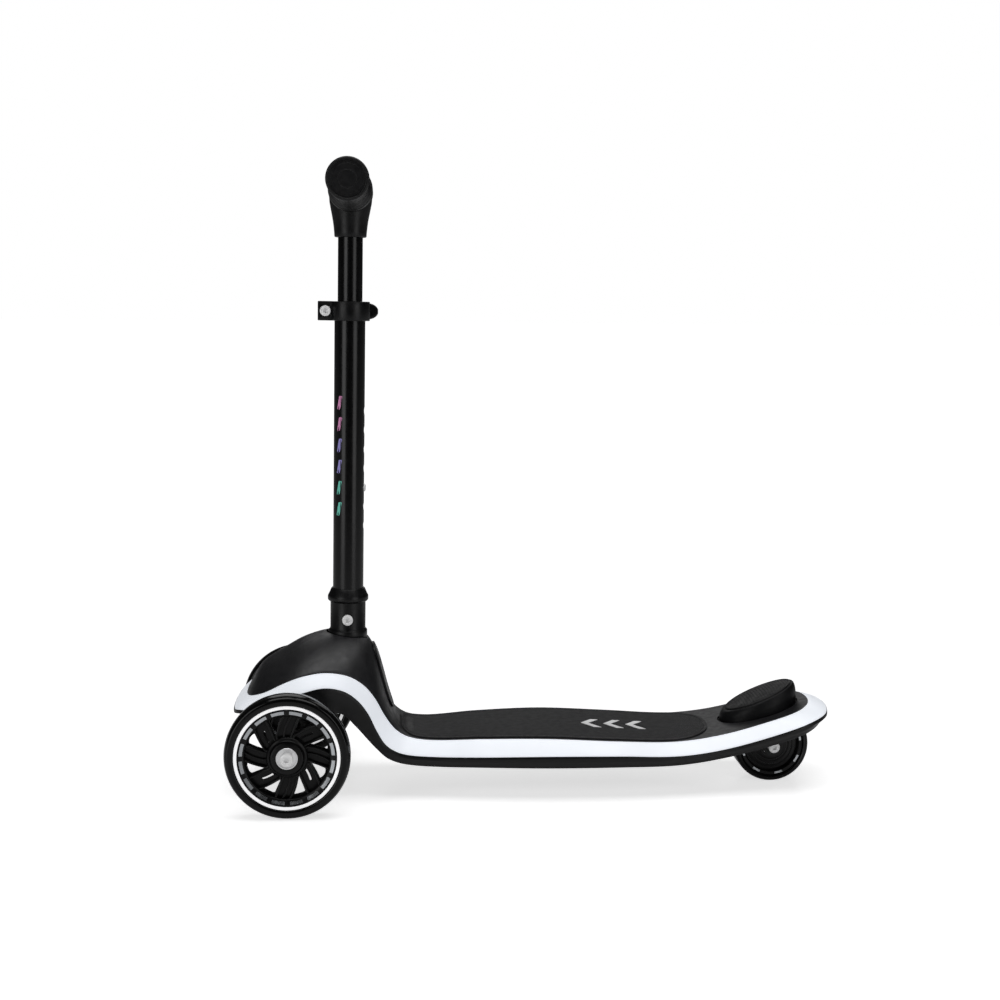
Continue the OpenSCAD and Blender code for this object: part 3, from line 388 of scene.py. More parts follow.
# ---- deck curves -------------------------------------------------------------------------------
AXLE_X = 253.5
REAR_X = AXLE_X - 510
TOP_EDGE = [
    [48, 0, 103], [46, 28, 104], [39, 49, 107.5], [25, 63, 114], [5, 69, 124.5], [-14, 70.5, 131.5],
    [-36, 69, 134.5], [-58, 64, 130], [-74, 59, 119.5], [-86, 56, 104.5], [-96, 54, 86],
    [-107, 52, 71], [-121, 51, 62.5], [-145, 53, 59.3], [-195, 60, 61.4], [-265, 66, 62.3],
    [-340, 66, 58.8], [-400, 60.5, 56.6], [-450, 55, 62.2], [-500, 50.5, 74.3], [-530, 44, 82.8],
    [-545, 28, 87.6], [-550, 0, 89]
]
BAND_EDGE = [
    [61, 0, 89], [59.5, 30, 90.5], [54, 55, 94], [34, 76, 99.5], [6, 83, 110], [-14, 84.5, 117.5],
    [-35, 83, 121.8], [-54, 78, 117.5], [-68, 73.5, 107], [-79, 70.5, 92], [-88, 68.5, 73],
    [-98, 67, 57.5], [-114, 66, 48.5], [-143, 67, 45.3], [-195, 74, 45.8], [-265, 80, 47.3],
    [-340, 80, 46.7], [-400, 75, 44.8], [-450, 69, 50], [-502, 65, 62.5], [-538, 60.5, 73.5],
    [-561, 43, 80.5], [-569, 0, 83]
]
BOTTOM_EDGE = [
    [57, 0, 82], [55, 28, 83], [49, 51, 86], [30, 72, 92.5], [6, 79.5, 94], [-14, 81, 94],
    [-33, 79.5, 94], [-52, 74.5, 92], [-66, 70.5, 78], [-78, 67.5, 63.5], [-88, 65.5, 52],
    [-99, 64, 42], [-115, 63, 36], [-143, 64, 33.2], [-195, 71, 33.2], [-265, 77, 33.2],
    [-340, 77, 33.2], [-400, 72, 33.2], [-450, 66, 38.8], [-502, 62, 50.5], [-538, 57.5, 61.5],
    [-556, 40, 68.5], [-563, 0, 71]
]
DOME_RISE = [
    [48, 0], [41, 10], [34, 18.5], [26, 22], [9, 23], [-10, 26], [-35, 30], [-60, 36], [-76, 43],
    [-85, 41], [-92, 32], [-98, 19], [-105, 8], [-113, 2], [-122, 0]
]
STEPS = 9


def closed_rows(rows):
    """Rows of the left half, with x from the front axle, and their mirror image as one loop."""
    left = [[AXLE_X + x, y, z] for x, y, z in rows]
    return np.array(left + [[x, -y, z] for x, y, z in left[-2:0:-1]])


def hermite(u, p, q, reach, leave, arrive):
    """The point at share u between p and q; leave and arrive are the slopes there, per unit of reach."""
    return ((2 * u**3 - 3 * u**2 + 1) * p + (u**3 - 2 * u**2 + u) * reach * leave
            + (3 * u**2 - 2 * u**3) * q + (u**3 - u**2) * reach * arrive)


def smooth_loop(p, steps):
    after, before = np.roll(p, -1, 0), np.roll(p, 1, 0)
    ahead = np.linalg.norm(after - p, axis=1, keepdims=True)
    slope = (after - before) / (ahead + np.linalg.norm(p - before, axis=1, keepdims=True))
    out = [hermite(s / steps, p, after, ahead, slope, np.roll(slope, -1, 0)) for s in range(steps)]
    return np.stack(out, 1).reshape(-1, p.shape[1])


top_loop, band_loop, bottom_loop = (smooth_loop(closed_rows(rows), STEPS)
                                    for rows in (TOP_EDGE, BAND_EDGE, BOTTOM_EDGE))
HALF = len(top_loop) // 2
edge = top_loop[HALF::-1]


def smooth_table(rows, steps=8, weight=1):
    """A smooth open curve through rows; weight says how much each column counts as distance."""
    p = np.array(rows, float)
    d = np.linalg.norm(np.diff(p * weight, axis=0), axis=1, keepdims=True)
    slope = np.empty_like(p)
    slope[1:-1] = (p[2:] - p[:-2]) / (d[1:] + d[:-1])
    slope[0], slope[-1] = (p[1] - p[0]) / d[0], (p[-1] - p[-2]) / d[-1]
    out = [hermite(s / steps, p[:-1], p[1:], d, slope[:-1], slope[1:]) for s in range(steps)]
    return np.vstack([np.stack(out, 1).reshape(-1, p.shape[1]), p[-1:]])


rise = smooth_table([[AXLE_X + x, h] for x, h in DOME_RISE])[::-1]


def skin_z(x, y):
    """Height of the deck's top skin."""
    width = np.maximum(1, np.interp(x, edge[:, 0], edge[:, 1]))
    crown = np.maximum(0, 1 - (y / width) ** 2) ** 0.9
    return np.interp(x, edge[:, 0], edge[:, 2]) + np.interp(x, rise[:, 0], rise[:, 1]) * crown


def pulled(loop, v, front=AXLE_X + 8, rear=AXLE_X - 520):
    c = np.clip(loop[:, 0], rear, front)
    return np.stack([c + v * (loop[:, 0] - c), v * loop[:, 1], loop[:, 2]], 1)


def on_skin(loop, lift):
    return np.stack([loop[:, 0], loop[:, 1], skin_z(loop[:, 0], loop[:, 1]) + lift], 1)


up_chamfer = top_loop - band_loop
up_chamfer /= np.linalg.norm(up_chamfer, axis=1, keepdims=True)
flat = np.linalg.norm(up_chamfer[:, :2], axis=1, keepdims=True)
inward = np.hstack([up_chamfer[:, :2] / flat, 0 * flat])
into_deck = np.hstack([up_chamfer[:, :2] / flat * up_chamfer[:, 2:], -flat])


def beside(loop, along, into):
    return loop + along * up_chamfer + into * into_deck


def toward_middle(loop, inset, lift):
    return loop + inset * inward + np.array([0, 0, lift])


# ---- stem frame --------------------------------------------------------------------------------
STEM_X, SEAT_Z = AXLE_X - 57.3, 157
RAKE = math.radians(0.6)


def on_stem(x, y, h):
    """A point x in front of the stem's axis, y to its left and h up along it, in the row frame."""
    return (STEM_X + x * math.cos(RAKE) - h * math.sin(RAKE), y,
            SEAT_Z + h * math.cos(RAKE) + x * math.sin(RAKE))


# ---- deck --------------------------------------------------------------------------------------
WALL = 3
SEAT_R, SEAT_SPAN, PEDAL_GAP = 22.6, 158, 2.2
skin_shares = [0.03, 0.09, 0.15, 0.22, 0.29, 0.36, 0.43, 0.5, 0.56, 0.62, 0.68, 0.73, 0.78, 0.83, 0.87,
               0.91, 0.94, 0.965]
under_shares = skin_shares[::2]
cover = lofted("deck_shell_top", [on_skin(pulled(top_loop, v), 0) for v in skin_shares]
               + [on_skin(toward_middle(top_loop, 1.0, 0), 0), beside(top_loop, 0.1, 0.25),
                  beside(top_loop, 0, 0.8), beside(top_loop, 0, WALL + 0.2)]
               + [on_skin(pulled(top_loop, v), -WALL - 0.3) for v in under_shares[::-1]])
combine(cover, [tool(drum(SEAT_R, SEAT_Z, SEAT_Z + 30, lambda u, v, w: (STEM_X + u, v, w)))])
seat = [(STEM_X + u, v) for u, v in arc(SEAT_R + 0.5, -SEAT_SPAN, SEAT_SPAN, 96)]
combine(cover, [tool(prism(seat, SEAT_Z - 5, SEAT_Z, straight))], "UNION")
PEDAL_X, PEDAL_LONG, PEDAL_WIDE = REAR_X + 12.5, 41, 31
opening = [(PEDAL_X + (PEDAL_LONG + PEDAL_GAP) * math.cos(TAU * i / 96),
            (PEDAL_WIDE + PEDAL_GAP) * math.sin(TAU * i / 96)) for i in range(96)]
combine(cover, [tool(drum(19.2, SEAT_Z - 30, SEAT_Z + 30, lambda u, v, w: (STEM_X + u, v, w))),
                tool(prism(opening, 40, 130, straight))])
finish_piece(cover, "deck_satin", "deck", "deck_cover", sharp=32)

tray = lofted("deck_shell_bottom", [
    toward_middle(bottom_loop, 7, WALL + 0.5), toward_middle(bottom_loop, 3.5, WALL + 2.5),
    beside(band_loop, 0, WALL + 0.2), beside(band_loop, 0, 0.4), toward_middle(band_loop, 0, -0.5),
    toward_middle(band_loop, -0.45, -1.8), toward_middle(band_loop, -0.6, -4),
    0.5 * (toward_middle(band_loop, -0.6, -4) + toward_middle(bottom_loop, 0, 3)) - 0.4 * inward,
    toward_middle(bottom_loop, 0, 3), toward_middle(bottom_loop, 0.35, 1.4),
    toward_middle(bottom_loop, 1.2, 0.4), toward_middle(bottom_loop, 2.5, 0)])
wheel_room = [(REAR_X + x, y) for x, y in ((-39, -29), (52, -29), (52, 29), (-39, 29))]
combine(tray, [tool(prism(wheel_room, 20, 110, straight))])
finish_piece(tray, "deck_black", "deck", "deck_tray", sharp=32)

GAP = 0.15


def across_band(t, into):
    return (1 - t) * beside(top_loop, -GAP, 0) + t * beside(band_loop, GAP, 0) + into * into_deck


lofted("glow_band", [across_band(0, 0.5), across_band(0.04, 0.12)]
       + [across_band(t, -0.45 * math.sin(math.pi * t)) for t in (0.12, 0.25, 0.4, 0.6, 0.75, 0.88)]
       + [across_band(0.96, 0.12), across_band(1, 0.5), across_band(1, 2.2), across_band(0, 2.2)],
       "light", "deck", "light_band", ring=True, sharp=50)

# Anti-slip mat: a flat base with a raised border, and a field of small pyramids inside it
MAT_ROWS = [
    [-114, 0], [-115, 30], [-124, 44], [-145, 48.5], [-195, 56], [-265, 62], [-340, 62], [-395, 57.5],
    [-420, 49], [-436, 29], [-441, 0]
]
mat_loop = smooth_loop(closed_rows([[x, y, 0] for x, y in MAT_ROWS]), 10)


def mat_ring(v, lift):
    return on_skin(pulled(mat_loop, v, AXLE_X - 150, AXLE_X - 405), lift)


lofted("mat_base", [mat_ring(v, 0.75) for v in (0.3, 0.6, 0.9)] + [
    mat_ring(0.925, 0.75), mat_ring(0.927, 1.3), mat_ring(0.933, 1.45), mat_ring(0.96, 1.45),
    mat_ring(0.963, 1.0), mat_ring(0.972, 1.0), mat_ring(0.975, 1.45), mat_ring(0.992, 1.45),
    mat_ring(0.998, 1.3), mat_ring(1, 0.9), mat_ring(1, 0.45)]
    + [mat_ring(v, 0.45) for v in (0.9, 0.6, 0.3)], "mat", "deck", "grip_mat", sharp=28)


def field(name, xs, ys, height, inside, low, tall, slot, body, *nodes):
    """A closed sheet of pyramids on a grid, kept where inside(x, y) is true."""
    gx, gy = np.meshgrid(xs, ys, indexing="ij")
    keep = inside(gx, gy)
    odd = (np.add.outer(np.arange(len(xs)), np.arange(len(ys))) % 2 == 0)
    top = height(gx, gy) + low + tall * odd
    bottom = height(gx, gy) + low - 0.35
    cell = keep[:-1, :-1] & keep[1:, :-1] & keep[:-1, 1:] & keep[1:, 1:]
    number = -np.ones(gx.shape, int)
    used = np.zeros(gx.shape, bool)
    for di in (0, 1):
        for dj in (0, 1):
            used[di:gx.shape[0] - 1 + di, dj:gx.shape[1] - 1 + dj] |= cell
    number[used] = np.arange(used.sum())
    count = int(used.sum())
    verts = list(zip(gx[used], gy[used], top[used])) + list(zip(gx[used], gy[used], bottom[used]))
    faces = []
    for i, j in zip(*np.nonzero(cell)):
        a, b, c, d = (int(number[i + p, j + q]) for p, q in ((0, 0), (1, 0), (1, 1), (0, 1)))
        # Each cell is split along the diagonal that joins its two low corners
        if odd[i, j]:
            faces += [(a, b, d), (b, c, d)]
        else:
            faces += [(a, b, c), (a, c, d)]
        faces.append((count + d, count + c, count + b, count + a))
        for (p, q), (m, n) in (((0, -1), (a, b)), ((1, 0), (b, c)), ((0, 1), (c, d)), ((-1, 0), (d, a))):
            r, s = i + p, j + q
            if not (0 <= r < cell.shape[0] and 0 <= s < cell.shape[1] and cell[r, s]):
                faces.append((n, m, count + m, count + n))
    return piece(name, verts, faces, slot, body, *nodes, sharp=12)


def in_mat(x, y):
    ring = mat_ring(0.93, 0)
    half = ring[:len(ring) // 2 + 1][::-1]
    width = np.interp(x, half[:, 0], half[:, 1], left=-1, right=-1)
    return np.abs(y) < width


PITCH_MM = 1.3
field("mat_field", np.arange(AXLE_X - 445, AXLE_X - 110, PITCH_MM), np.arange(-66.3, 66.4, PITCH_MM), skin_z,
      in_mat, 0.95, 0.42, "mat", "deck")


# Panel in the back of the neck, with a raised rim and a slot
PANEL_ROWS = [[-82.5, 0], [-84, 14], [-89, 20], [-96, 20], [-102, 16], [-104.5, 0]]
panel_loop = smooth_loop(closed_rows([[x, y, 0] for x, y in PANEL_ROWS]), 10)


def panel_ring(v, back):
    loop = pulled(panel_loop, v, AXLE_X - 90, AXLE_X - 97)
    z = skin_z(loop[:, 0], loop[:, 1])
    return np.stack([loop[:, 0] - back, loop[:, 1], z + back * 0.35], 1)


panel = lofted("neck_insert", [panel_ring(v, 1.5) for v in (0.1, 0.35, 0.6, 0.78)] + [
    panel_ring(v, back) for v, back in ((0.8, 1.55), (0.83, 2), (0.94, 2), (0.98, 1.8), (1, 1.3), (1, 0.5),
                                        (0.8, 0.5), (0.45, 0.5), (0.1, 0.5))])
slot_z = float(skin_z(AXLE_X - 90, 0))
slot_outline = rounded([(-9, -1.8), (9, -1.8), (9, 1.8), (-9, 1.8)], 1.7, 6)
combine(panel, [tool(prism(slot_outline, AXLE_X - 96, AXLE_X - 84, lambda u, v, w: (w, u, slot_z + v)))])
finish_piece(panel, "deck_black", "deck", "neck_panel", sharp=30)


# ---- stem --------------------------------------------------------------------------------------
def stem_turned(name, profile, slot, body, *nodes, cuts=(), sharp=30, segments=144):
    obj = piece(name, *turned(profile, on_stem, segments), None, None)
    if cuts:
        combine(obj, [tool(c) for c in cuts])
    return finish_piece(obj, slot, body, *nodes, sharp=sharp)


def cross_hole(r, h, y0=-60, y1=60):
    return drum(r, y0, y1, lambda u, v, w: on_stem(u, w, h + v), 48)


BOLT_H, SOCKET_R, LOWER_R, UPPER_R = 22, 18.4, 15.9, 12.7
SCREW_PLACES = [(AXLE_X + x, y) for x in (-36, 12) for y in (-21, 21)]
socket = piece("stem_base", *turned([
    (LOWER_R + 0.04, 39.5), (17.9, 39.5), (SOCKET_R, 39.0), (SOCKET_R, 11.4), (19.0, 10.0), (20.0, 9.1),
    (20.35, 8.4), (20.35, 2.4), (20.1, 1.9), (19.6, 0.3), (SOCKET_R, 0.3), (SOCKET_R, -56),
    (LOWER_R + 0.04, -56)], on_stem, 144), None, None)
foot = tool(prism(rounded([(AXLE_X - 78, -30), (AXLE_X + 20, -30), (AXLE_X + 20, 30), (AXLE_X - 78, 30)], 6),
                  98.2, 102.5, straight))
combine(socket, [foot], "UNION")
combine(socket, [tool(cross_hole(4, BOLT_H))] + [
    tool(drum(2.55, 80, 120, lambda u, v, w, p=p: (p[0] + u, p[1] + v, w), 32)) for p in SCREW_PLACES])
finish_piece(socket, "socket_black", "deck", "stem_socket", sharp=32)

COLLAR_H = 39.7
stem_turned("lock_collar", [(r, COLLAR_H + h) for r, h in (
    (LOWER_R + 0.05, 0), (19.6, 0), (20.1, 0.3), (21.0, 1.3), (21.2, 1.9), (21.2, 5.3), (20.9, 6.2),
    (20.1, 7.6), (17.6, 13.3), (17.1, 13.8), (LOWER_R + 0.05, 13.8))],
            "socket_black", "deck", "collar_ring", sharp=28)

CLAMP_LOW, CLAMP_HIGH, BUTTON_H = 332, 351.8, 159
low_end, high_end = -39.7, CLAMP_HIGH - 1
button_holes = [drum(4.4, -LOWER_R - 6, -LOWER_R + 6,
                     lambda u, v, w, i=i: on_stem(w, u, BUTTON_H + 20 * i + v), 48) for i in range(-2, 5)]
stem_slit = prism([(0, -0.8), (30, -0.8), (30, 0.8), (0, 0.8)], CLAMP_HIGH - 32, CLAMP_HIGH + 8, on_stem)
stem_turned("lower_stem", [(LOWER_R - 1.6, low_end), (LOWER_R, low_end), (LOWER_R, 50), (LOWER_R, 150),
                           (LOWER_R, 250), (LOWER_R, high_end - 0.5), (LOWER_R - 0.4, high_end),
                           (LOWER_R - 1.2, high_end), (LOWER_R - 1.6, high_end - 0.4), (LOWER_R - 1.6, 200)],
            "gloss_black", "deck", "lower_tube",
            cuts=button_holes + [cross_hole(4, BOLT_H), stem_slit], sharp=35)

MID_H = (CLAMP_LOW + CLAMP_HIGH) / 2
CLAMP_X = 25
TALL = (CLAMP_HIGH - CLAMP_LOW) / 2
clamp = piece("height_clamp", *turned([
    (LOWER_R + 0.05, CLAMP_LOW), (19.6, CLAMP_LOW), (20.2, CLAMP_LOW + 0.3), (20.5, CLAMP_LOW + 1),
    (20.5, CLAMP_HIGH - 1), (20.2, CLAMP_HIGH - 0.3), (19.6, CLAMP_HIGH), (LOWER_R + 0.05, CLAMP_HIGH)],
    on_stem, 144), None, None)
ear = prism(rounded([(17, -TALL), (32.8, -TALL), (32.8, TALL), (17, TALL)], 1.0, 6), -8.5, 8.5,
            lambda u, v, w: on_stem(u, w, MID_H + v))
combine(clamp, [tool(ear)], "UNION")
ear_slot = prism([(0, -1.2), (60, -1.2), (60, 1.2), (0, 1.2)], CLAMP_LOW - 5, CLAMP_HIGH + 5, on_stem)
combine(clamp, [tool(ear_slot),
                tool(drum(2.6, -30, 30, lambda u, v, w: on_stem(CLAMP_X + u, w, MID_H + v), 40))])
soften(clamp, 0.45, 2, 50)
finish_piece(clamp, "socket_black", "deck", "clamp_collar", sharp=40)


def bolt_piece(name, place, head_r, head_h, shank_r, length, hex_r, slot, body, *nodes, dome=0.8):
    """A bolt whose head's top is at w = 0, pointing down, with a hex recess. place maps (u, v, w)."""
    rim = 0.62 * head_r
    profile = [(shank_r, -head_h - length + 0.6), (shank_r, -head_h), (head_r - 0.3, -head_h),
               (head_r, -head_h + 0.4), (head_r, -dome - 0.5), (head_r - 0.35, -dome * 0.55),
               (head_r - 1.0, -0.12), (head_r - 1.7, 0.0), (rim + 0.5, 0), (rim + 0.3, -0.3), (rim, -0.35),
               (rim - 0.3, -0.1), (0.8, 0)]
    segments, count = 72, len(profile)
    verts, faces = turned(profile, place, segments, closed=False)
    faces.append(tuple(i * count + count - 1 for i in range(segments)))
    base = len(verts)
    verts += [place(*polar(shank_r - 0.6, 360 * i / segments), -head_h - length) for i in range(segments)]
    for i in range(segments):
        j = (i + 1) % segments
        faces.append((i * count, j * count, base + j, base + i))
    faces.append(tuple(base + i for i in range(segments)))
    obj = piece(name, verts, faces, None, None)
    hexagon = [polar(hex_r, 60 * k) for k in range(6)]
    combine(obj, [tool(prism(hexagon, -head_h * 0.6, 3, place))])
    return finish_piece(obj, slot, body, *nodes, sharp=30)


bolt_piece("stem_bolt", lambda u, v, w: on_stem(u, 23.2 + w, BOLT_H + v), 5.6, 4.6, 3.95, 44, 2.5,
           "steel", "deck", "socket_bolt")
bolt_piece("clamp_screw", lambda u, v, w: on_stem(CLAMP_X + u, 13.2 + w, MID_H + v), 5.5, 4.5, 2.5, 27.6, 2.5,
           "steel", "deck", "clamp_bolt")

# Quick-release lever: a cam, and an arm round the tube that thins to a rounded end
LEVER_Y = -16


def at_lever(u, v, w):
    return on_stem(CLAMP_X + u, LEVER_Y + v, MID_H + w)


cam = tool(drum(6.6, -7.5, 7.5, at_lever, 64))
arm_line = smooth_table([[23, -19], [10, -26], [-4, -28.6], [-16, -28.0], [-28.6, -26.2]], 10)
arm_verts = []
sections = len(arm_line)
around = 28
for k, (x, y) in enumerate(arm_line):
    ahead = arm_line[min(k + 1, sections - 1)] - arm_line[max(k - 1, 0)]
    side = np.array([-ahead[1], ahead[0]]) / np.linalg.norm(ahead)
    t = k / (sections - 1)
    tall = 6.4 + 1.9 * min(1, t * 1.6)
    fade = max(0.0, (t - 0.8) / 0.2)
    tall *= math.sqrt(max(0.06, 1 - 0.9 * fade ** 2))
    thick = 2.5 * (1 - 0.25 * fade)
    for i in range(around):
        a = TAU * i / around
        c, s = math.cos(a), math.sin(a)
        u = math.copysign(abs(c) ** 0.6, c) * thick
        v = math.copysign(abs(s) ** 0.5, s) * tall
        arm_verts.append(on_stem(x + side[0] * u, y + side[1] * u, MID_H + v))
lever = piece("quick_lever", arm_verts, tube_faces(around, sections), None, None)
combine(lever, [cam], "UNION")
combine(lever, [tool(drum(3.55, -15, 15, at_lever, 40)), tool(drum(12, -3.2, 3.2, at_lever, 64))])
finish_piece(lever, "socket_black", "clamp_lever", "clamp_lever", sharp=38)

BAR_H = 464
upper_low, upper_high = BUTTON_H - 16, BAR_H - 16
stem_turned("upper_stem", [(UPPER_R - 1.4, upper_low), (UPPER_R - 0.2, upper_low), (UPPER_R, upper_low + 0.3),
                           (UPPER_R, 250), (UPPER_R, 350), (UPPER_R, upper_high),
                           (UPPER_R - 1.4, upper_high)],
            "gloss_black", "handlebar", "upper_tube",
            cuts=[drum(4.3, -UPPER_R - 6, -UPPER_R + 6, lambda u, v, w: on_stem(w, u, BUTTON_H + v), 48)])
stem_out = LOWER_R + 1.8
button_profile = [(0, 8.2), (5.6, 8.2), (5.6, 9.5), (4, 9.5), (4, stem_out - 1.6), (3.7, stem_out - 0.8),
                  (3, stem_out - 0.25), (1.8, stem_out), (0, stem_out)]
into_stem = lambda u, v, w: on_stem(-w, u, BUTTON_H + v)
piece("height_button", *turned(button_profile, into_stem, 64, closed=False), "steel", "snap_button",
      "snap_button", sharp=30)

# ---- handlebar ---------------------------------------------------------------------------------
NECK_H = 417
rise_h = BAR_H - NECK_H
t_body = piece("bar_head", *turned([(r, NECK_H + h) for r, h in (
    (0, 0), (15.4, 0), (16.1, 0.3), (16.45, 1), (16.7, 5), (17.2, 10), (18.0, 16), (19.1, 22), (20.3, 28),
    (21.6, 35), (22.6, rise_h), (0, rise_h))], on_stem, 144, closed=False), None, None)


def bar(u, v, w):
    return on_stem(u, w, BAR_H + v)


barrel = tool(turned([
    (0, -31), (20.4, -31), (21.6, -30.6), (22.3, -29.6), (22.6, -28), (22.6, -10), (22.6, 10), (22.6, 28),
    (22.3, 29.6), (21.6, 30.6), (20.4, 31), (0, 31)], bar, 144, closed=False))
combine(t_body, [barrel], "UNION")
combine(t_body, [tool(drum(UPPER_R + 0.04, NECK_H - 1, NECK_H + rise_h - 15, on_stem)),
                 tool(drum(11.14, -45, 45, bar)),
                 tool(drum(2.6, 0, 30, lambda u, v, w: on_stem(w, u, BAR_H + v), 40)),
                 tool(drum(5, 17, 25, lambda u, v, w: on_stem(w, u, BAR_H + v), 40))])
finish_piece(t_body, "socket_black", "handlebar", "t_joint", sharp=30)

START, END, GRIP_R = 31.3, 166, 20.5
grip_profile = [(0, END - 4), (11.15, END - 4), (11.15, START), (19.8, START), (20.5, START + 0.3),
                (21, START + 1.1), (21, START + 3.6), (20.6, START + 4.6), (19, START + 6.6),
                (17.9, START + 9)]
grooves = []
for k in range(32):
    w = START + 13 + 3.6 * k
    if w > END - 18:
        break
    r = 17.6 + 0.9 * math.sin(math.pi * (w - START) / (END - START))
    grooves += [(r, w - 1.2), (r + 0.05, w - 0.8), (r - 0.75, w - 0.3), (r - 0.75, w + 0.3),
                (r + 0.05, w + 0.8)]
grip_profile += grooves + [(r, END - w) for r, w in (
    (17.9, 17), (18.9, 13), (19.9, 9), (GRIP_R - 0.1, 7), (GRIP_R, 5.5), (GRIP_R, 2.2), (GRIP_R - 0.3, 1.1),
    (GRIP_R - 0.9, 0.35), (GRIP_R - 1.6, 0), (18.4, 0), (18.0, 0.3), (17.7, 1.1), (17.0, 1.3), (16.6, 0.9),
    (14.4, 0.8), (14.0, 0.45), (9.0, 0.35), (8.6, 0.6), (8.1, 0.6), (7.8, 0.35), (0, 0.3))]
for side, name in ((1, "left_grip"), (-1, "right_grip")):
    along = lambda u, v, w, side=side: bar(u, v, side * w)
    piece(name + "_sleeve", *turned(grip_profile, along, 144, closed=False), "grip", "handlebar", name,
          sharp=32)

# ---- wheels ------------------------------------------------------------------------------------
FRONT_R, HALF_TRACK = 62.5, 118


def front_place(side):
    """Wheel frame: angle from the rear side, over the top, when seen from outside; w points outward."""
    return lambda u, v, w: (AXLE_X - side * u, side * (HALF_TRACK + w), FRONT_R + v)


tyre_side = [(48.62, 9.4), (48.9, 10.2), (49.2, 10.42), (52.5, 10.46), (52.8, 10.6), (53.05, 11.1),
             (53.5, 11.5), (54.4, 11.8), (56.0, 11.98), (57.3, 11.9)]
tyre_crown = [(57.3 + 5.2 * math.sin(math.radians(a)) ** 0.75, 11.9 * math.cos(math.radians(a)) ** 0.85)
              for a in range(10, 90, 8)]
front_half = tyre_side + tyre_crown
front_profile = front_half + [(FRONT_R, 0)] + [(r, -w) for r, w in front_half[::-1]]


def rib(path, place):
    """A rounded rib along a path of (radius, angle in degrees, width, low, high)."""
    verts = []
    for k, (r, ang, wide, low, high) in enumerate(path):
        k0, k1 = path[max(k - 1, 0)], path[min(k + 1, len(path) - 1)]
        p0, p1 = (np.array(polar(*q[:2])) for q in (k0, k1))
        d = (p1 - p0) / np.linalg.norm(p1 - p0)
        c = np.array(polar(r, ang))
        s = np.array([-d[1], d[0]])
        h = wide / 2
        round_by = min(1.1, h * 0.8)
        edge_in, edge_down = h - 0.3 * round_by, high - 0.3 * round_by
        for off, w in ((-h, low), (-h, high - round_by), (-edge_in, edge_down), (-h + round_by, high),
                       (h - round_by, high), (edge_in, edge_down), (h, high - round_by), (h, low)):
            q = c + s * off
            verts.append(place(q[0], q[1], w))
    return verts, tube_faces(8, len(path))


# The web between hub and rim has eight curved windows; every other spoke between them has a slit
WINDOW_AT = [165 + 45 * k for k in range(8)]
WINDOW_IN, WINDOW_OUT, WEB_OUT, WEB_HALF = 23, 39.5, 42.9, 1.6
# How far a window's two edges lean back from its inner tip, in degrees, and how early
LOW_EDGE, HIGH_EDGE = (21, 0.75), (4, 0.6)


def lean(r, by, power):
    return by * (max(0, r - WINDOW_IN) / (WINDOW_OUT - WINDOW_IN)) ** power


def window(tip):
    low = [(r, tip - lean(r, *LOW_EDGE)) for r in np.linspace(WINDOW_IN, WINDOW_OUT, 10)]
    outer = [(WINDOW_OUT + 1.5 * math.sin(math.pi * t), tip - LOW_EDGE[0] + (LOW_EDGE[0] - HIGH_EDGE[0]) * t)
             for t in np.linspace(0.1, 0.95, 7)]
    high = [(r, tip - lean(r, *HIGH_EDGE)) for r in np.linspace(39, 24, 8)]
    return rounded([polar(r, d) for r, d in low + outer + high], 0.9, 2)


def slit(tip):
    line = [(r, tip + 25 - 12.5 * (r - 20) / 14) for r in np.linspace(20.5, 34, 7)]
    sides = [(r, d + math.degrees(1.25 / r)) for r, d in line]
    sides += [(r, d - math.degrees(1.25 / r)) for r, d in line[::-1]]
    return rounded([polar(r, d) for r, d in sides], 0.8, 2)


def wheel_rib(at, wide, top):
    """A rib from hub to rim that follows at(r), the angle in degrees for each radius."""
    return [(r, at(r), wide, 0.5, top - 1.6 * math.sin(math.pi * min(1, max(0, (r - 18) / 25))))
            for r in np.linspace(17, 43, 14)]


def hub_bearings(name, profile, half, place, body, node):
    """Two bearings with the profile of one face, and the sleeve between them."""
    parts = [turned([(r, s * w) for r, w in profile], place, 96) for s in (1, -1)]
    parts.append(turned([(4.05, -half), (6.2, -half), (6.2, half), (4.05, half)], place, 64))
    piece(name, *join(parts), "bearing", body, node, sharp=30)


def plate_outline(middle, outer_r, inner_r, reach, steps, radius):
    """A short arc-shaped plate round an angle in degrees."""
    ends = ((outer_r, np.linspace(-reach, reach, steps)), (inner_r, np.linspace(reach, -reach, steps)))
    return rounded([polar(r, middle + d) for r, ds in ends for d in ds], radius, 2)


core_rim = [(41.6, 7.4), (42.2, 8.6), (43.2, 9.3), (47.4, 10.3), (47.8, 10.35), (48.4, 10.35), (48.6, 10.1)]
core_hub = [(11.01, 12.2), (11.3, 12.5), (15.2, 12.5), (15.8, 12.2), (16.2, 11.4), (16.5, 10.2),
            (17.0, 9.3), (17.8, 8.5), (19.2, 7.8), (20.2, 7.0), (20.6, 5.8), (20.6, 0.8), (22.5, 0.7),
            (23, 0.5)]
white_band = [(49.2, 10.5), (49.3, 10.75), (49.6, 10.9), (52.1, 10.9), (52.4, 10.75), (52.45, 10.5)]
front_bearing = [(4.05, 12.2), (4.3, 12.45), (6.2, 12.45), (6.25, 12.1), (6.5, 12.05), (9.2, 12.05),
                 (9.4, 12.1), (9.45, 12.4), (9.6, 12.5), (10.7, 12.5), (11.0, 12.2), (11.0, 5.5), (4.05, 5.5)]
CONE_R, CONE_W, CONE_SLOPE = 43.9, 9.5, 0.24
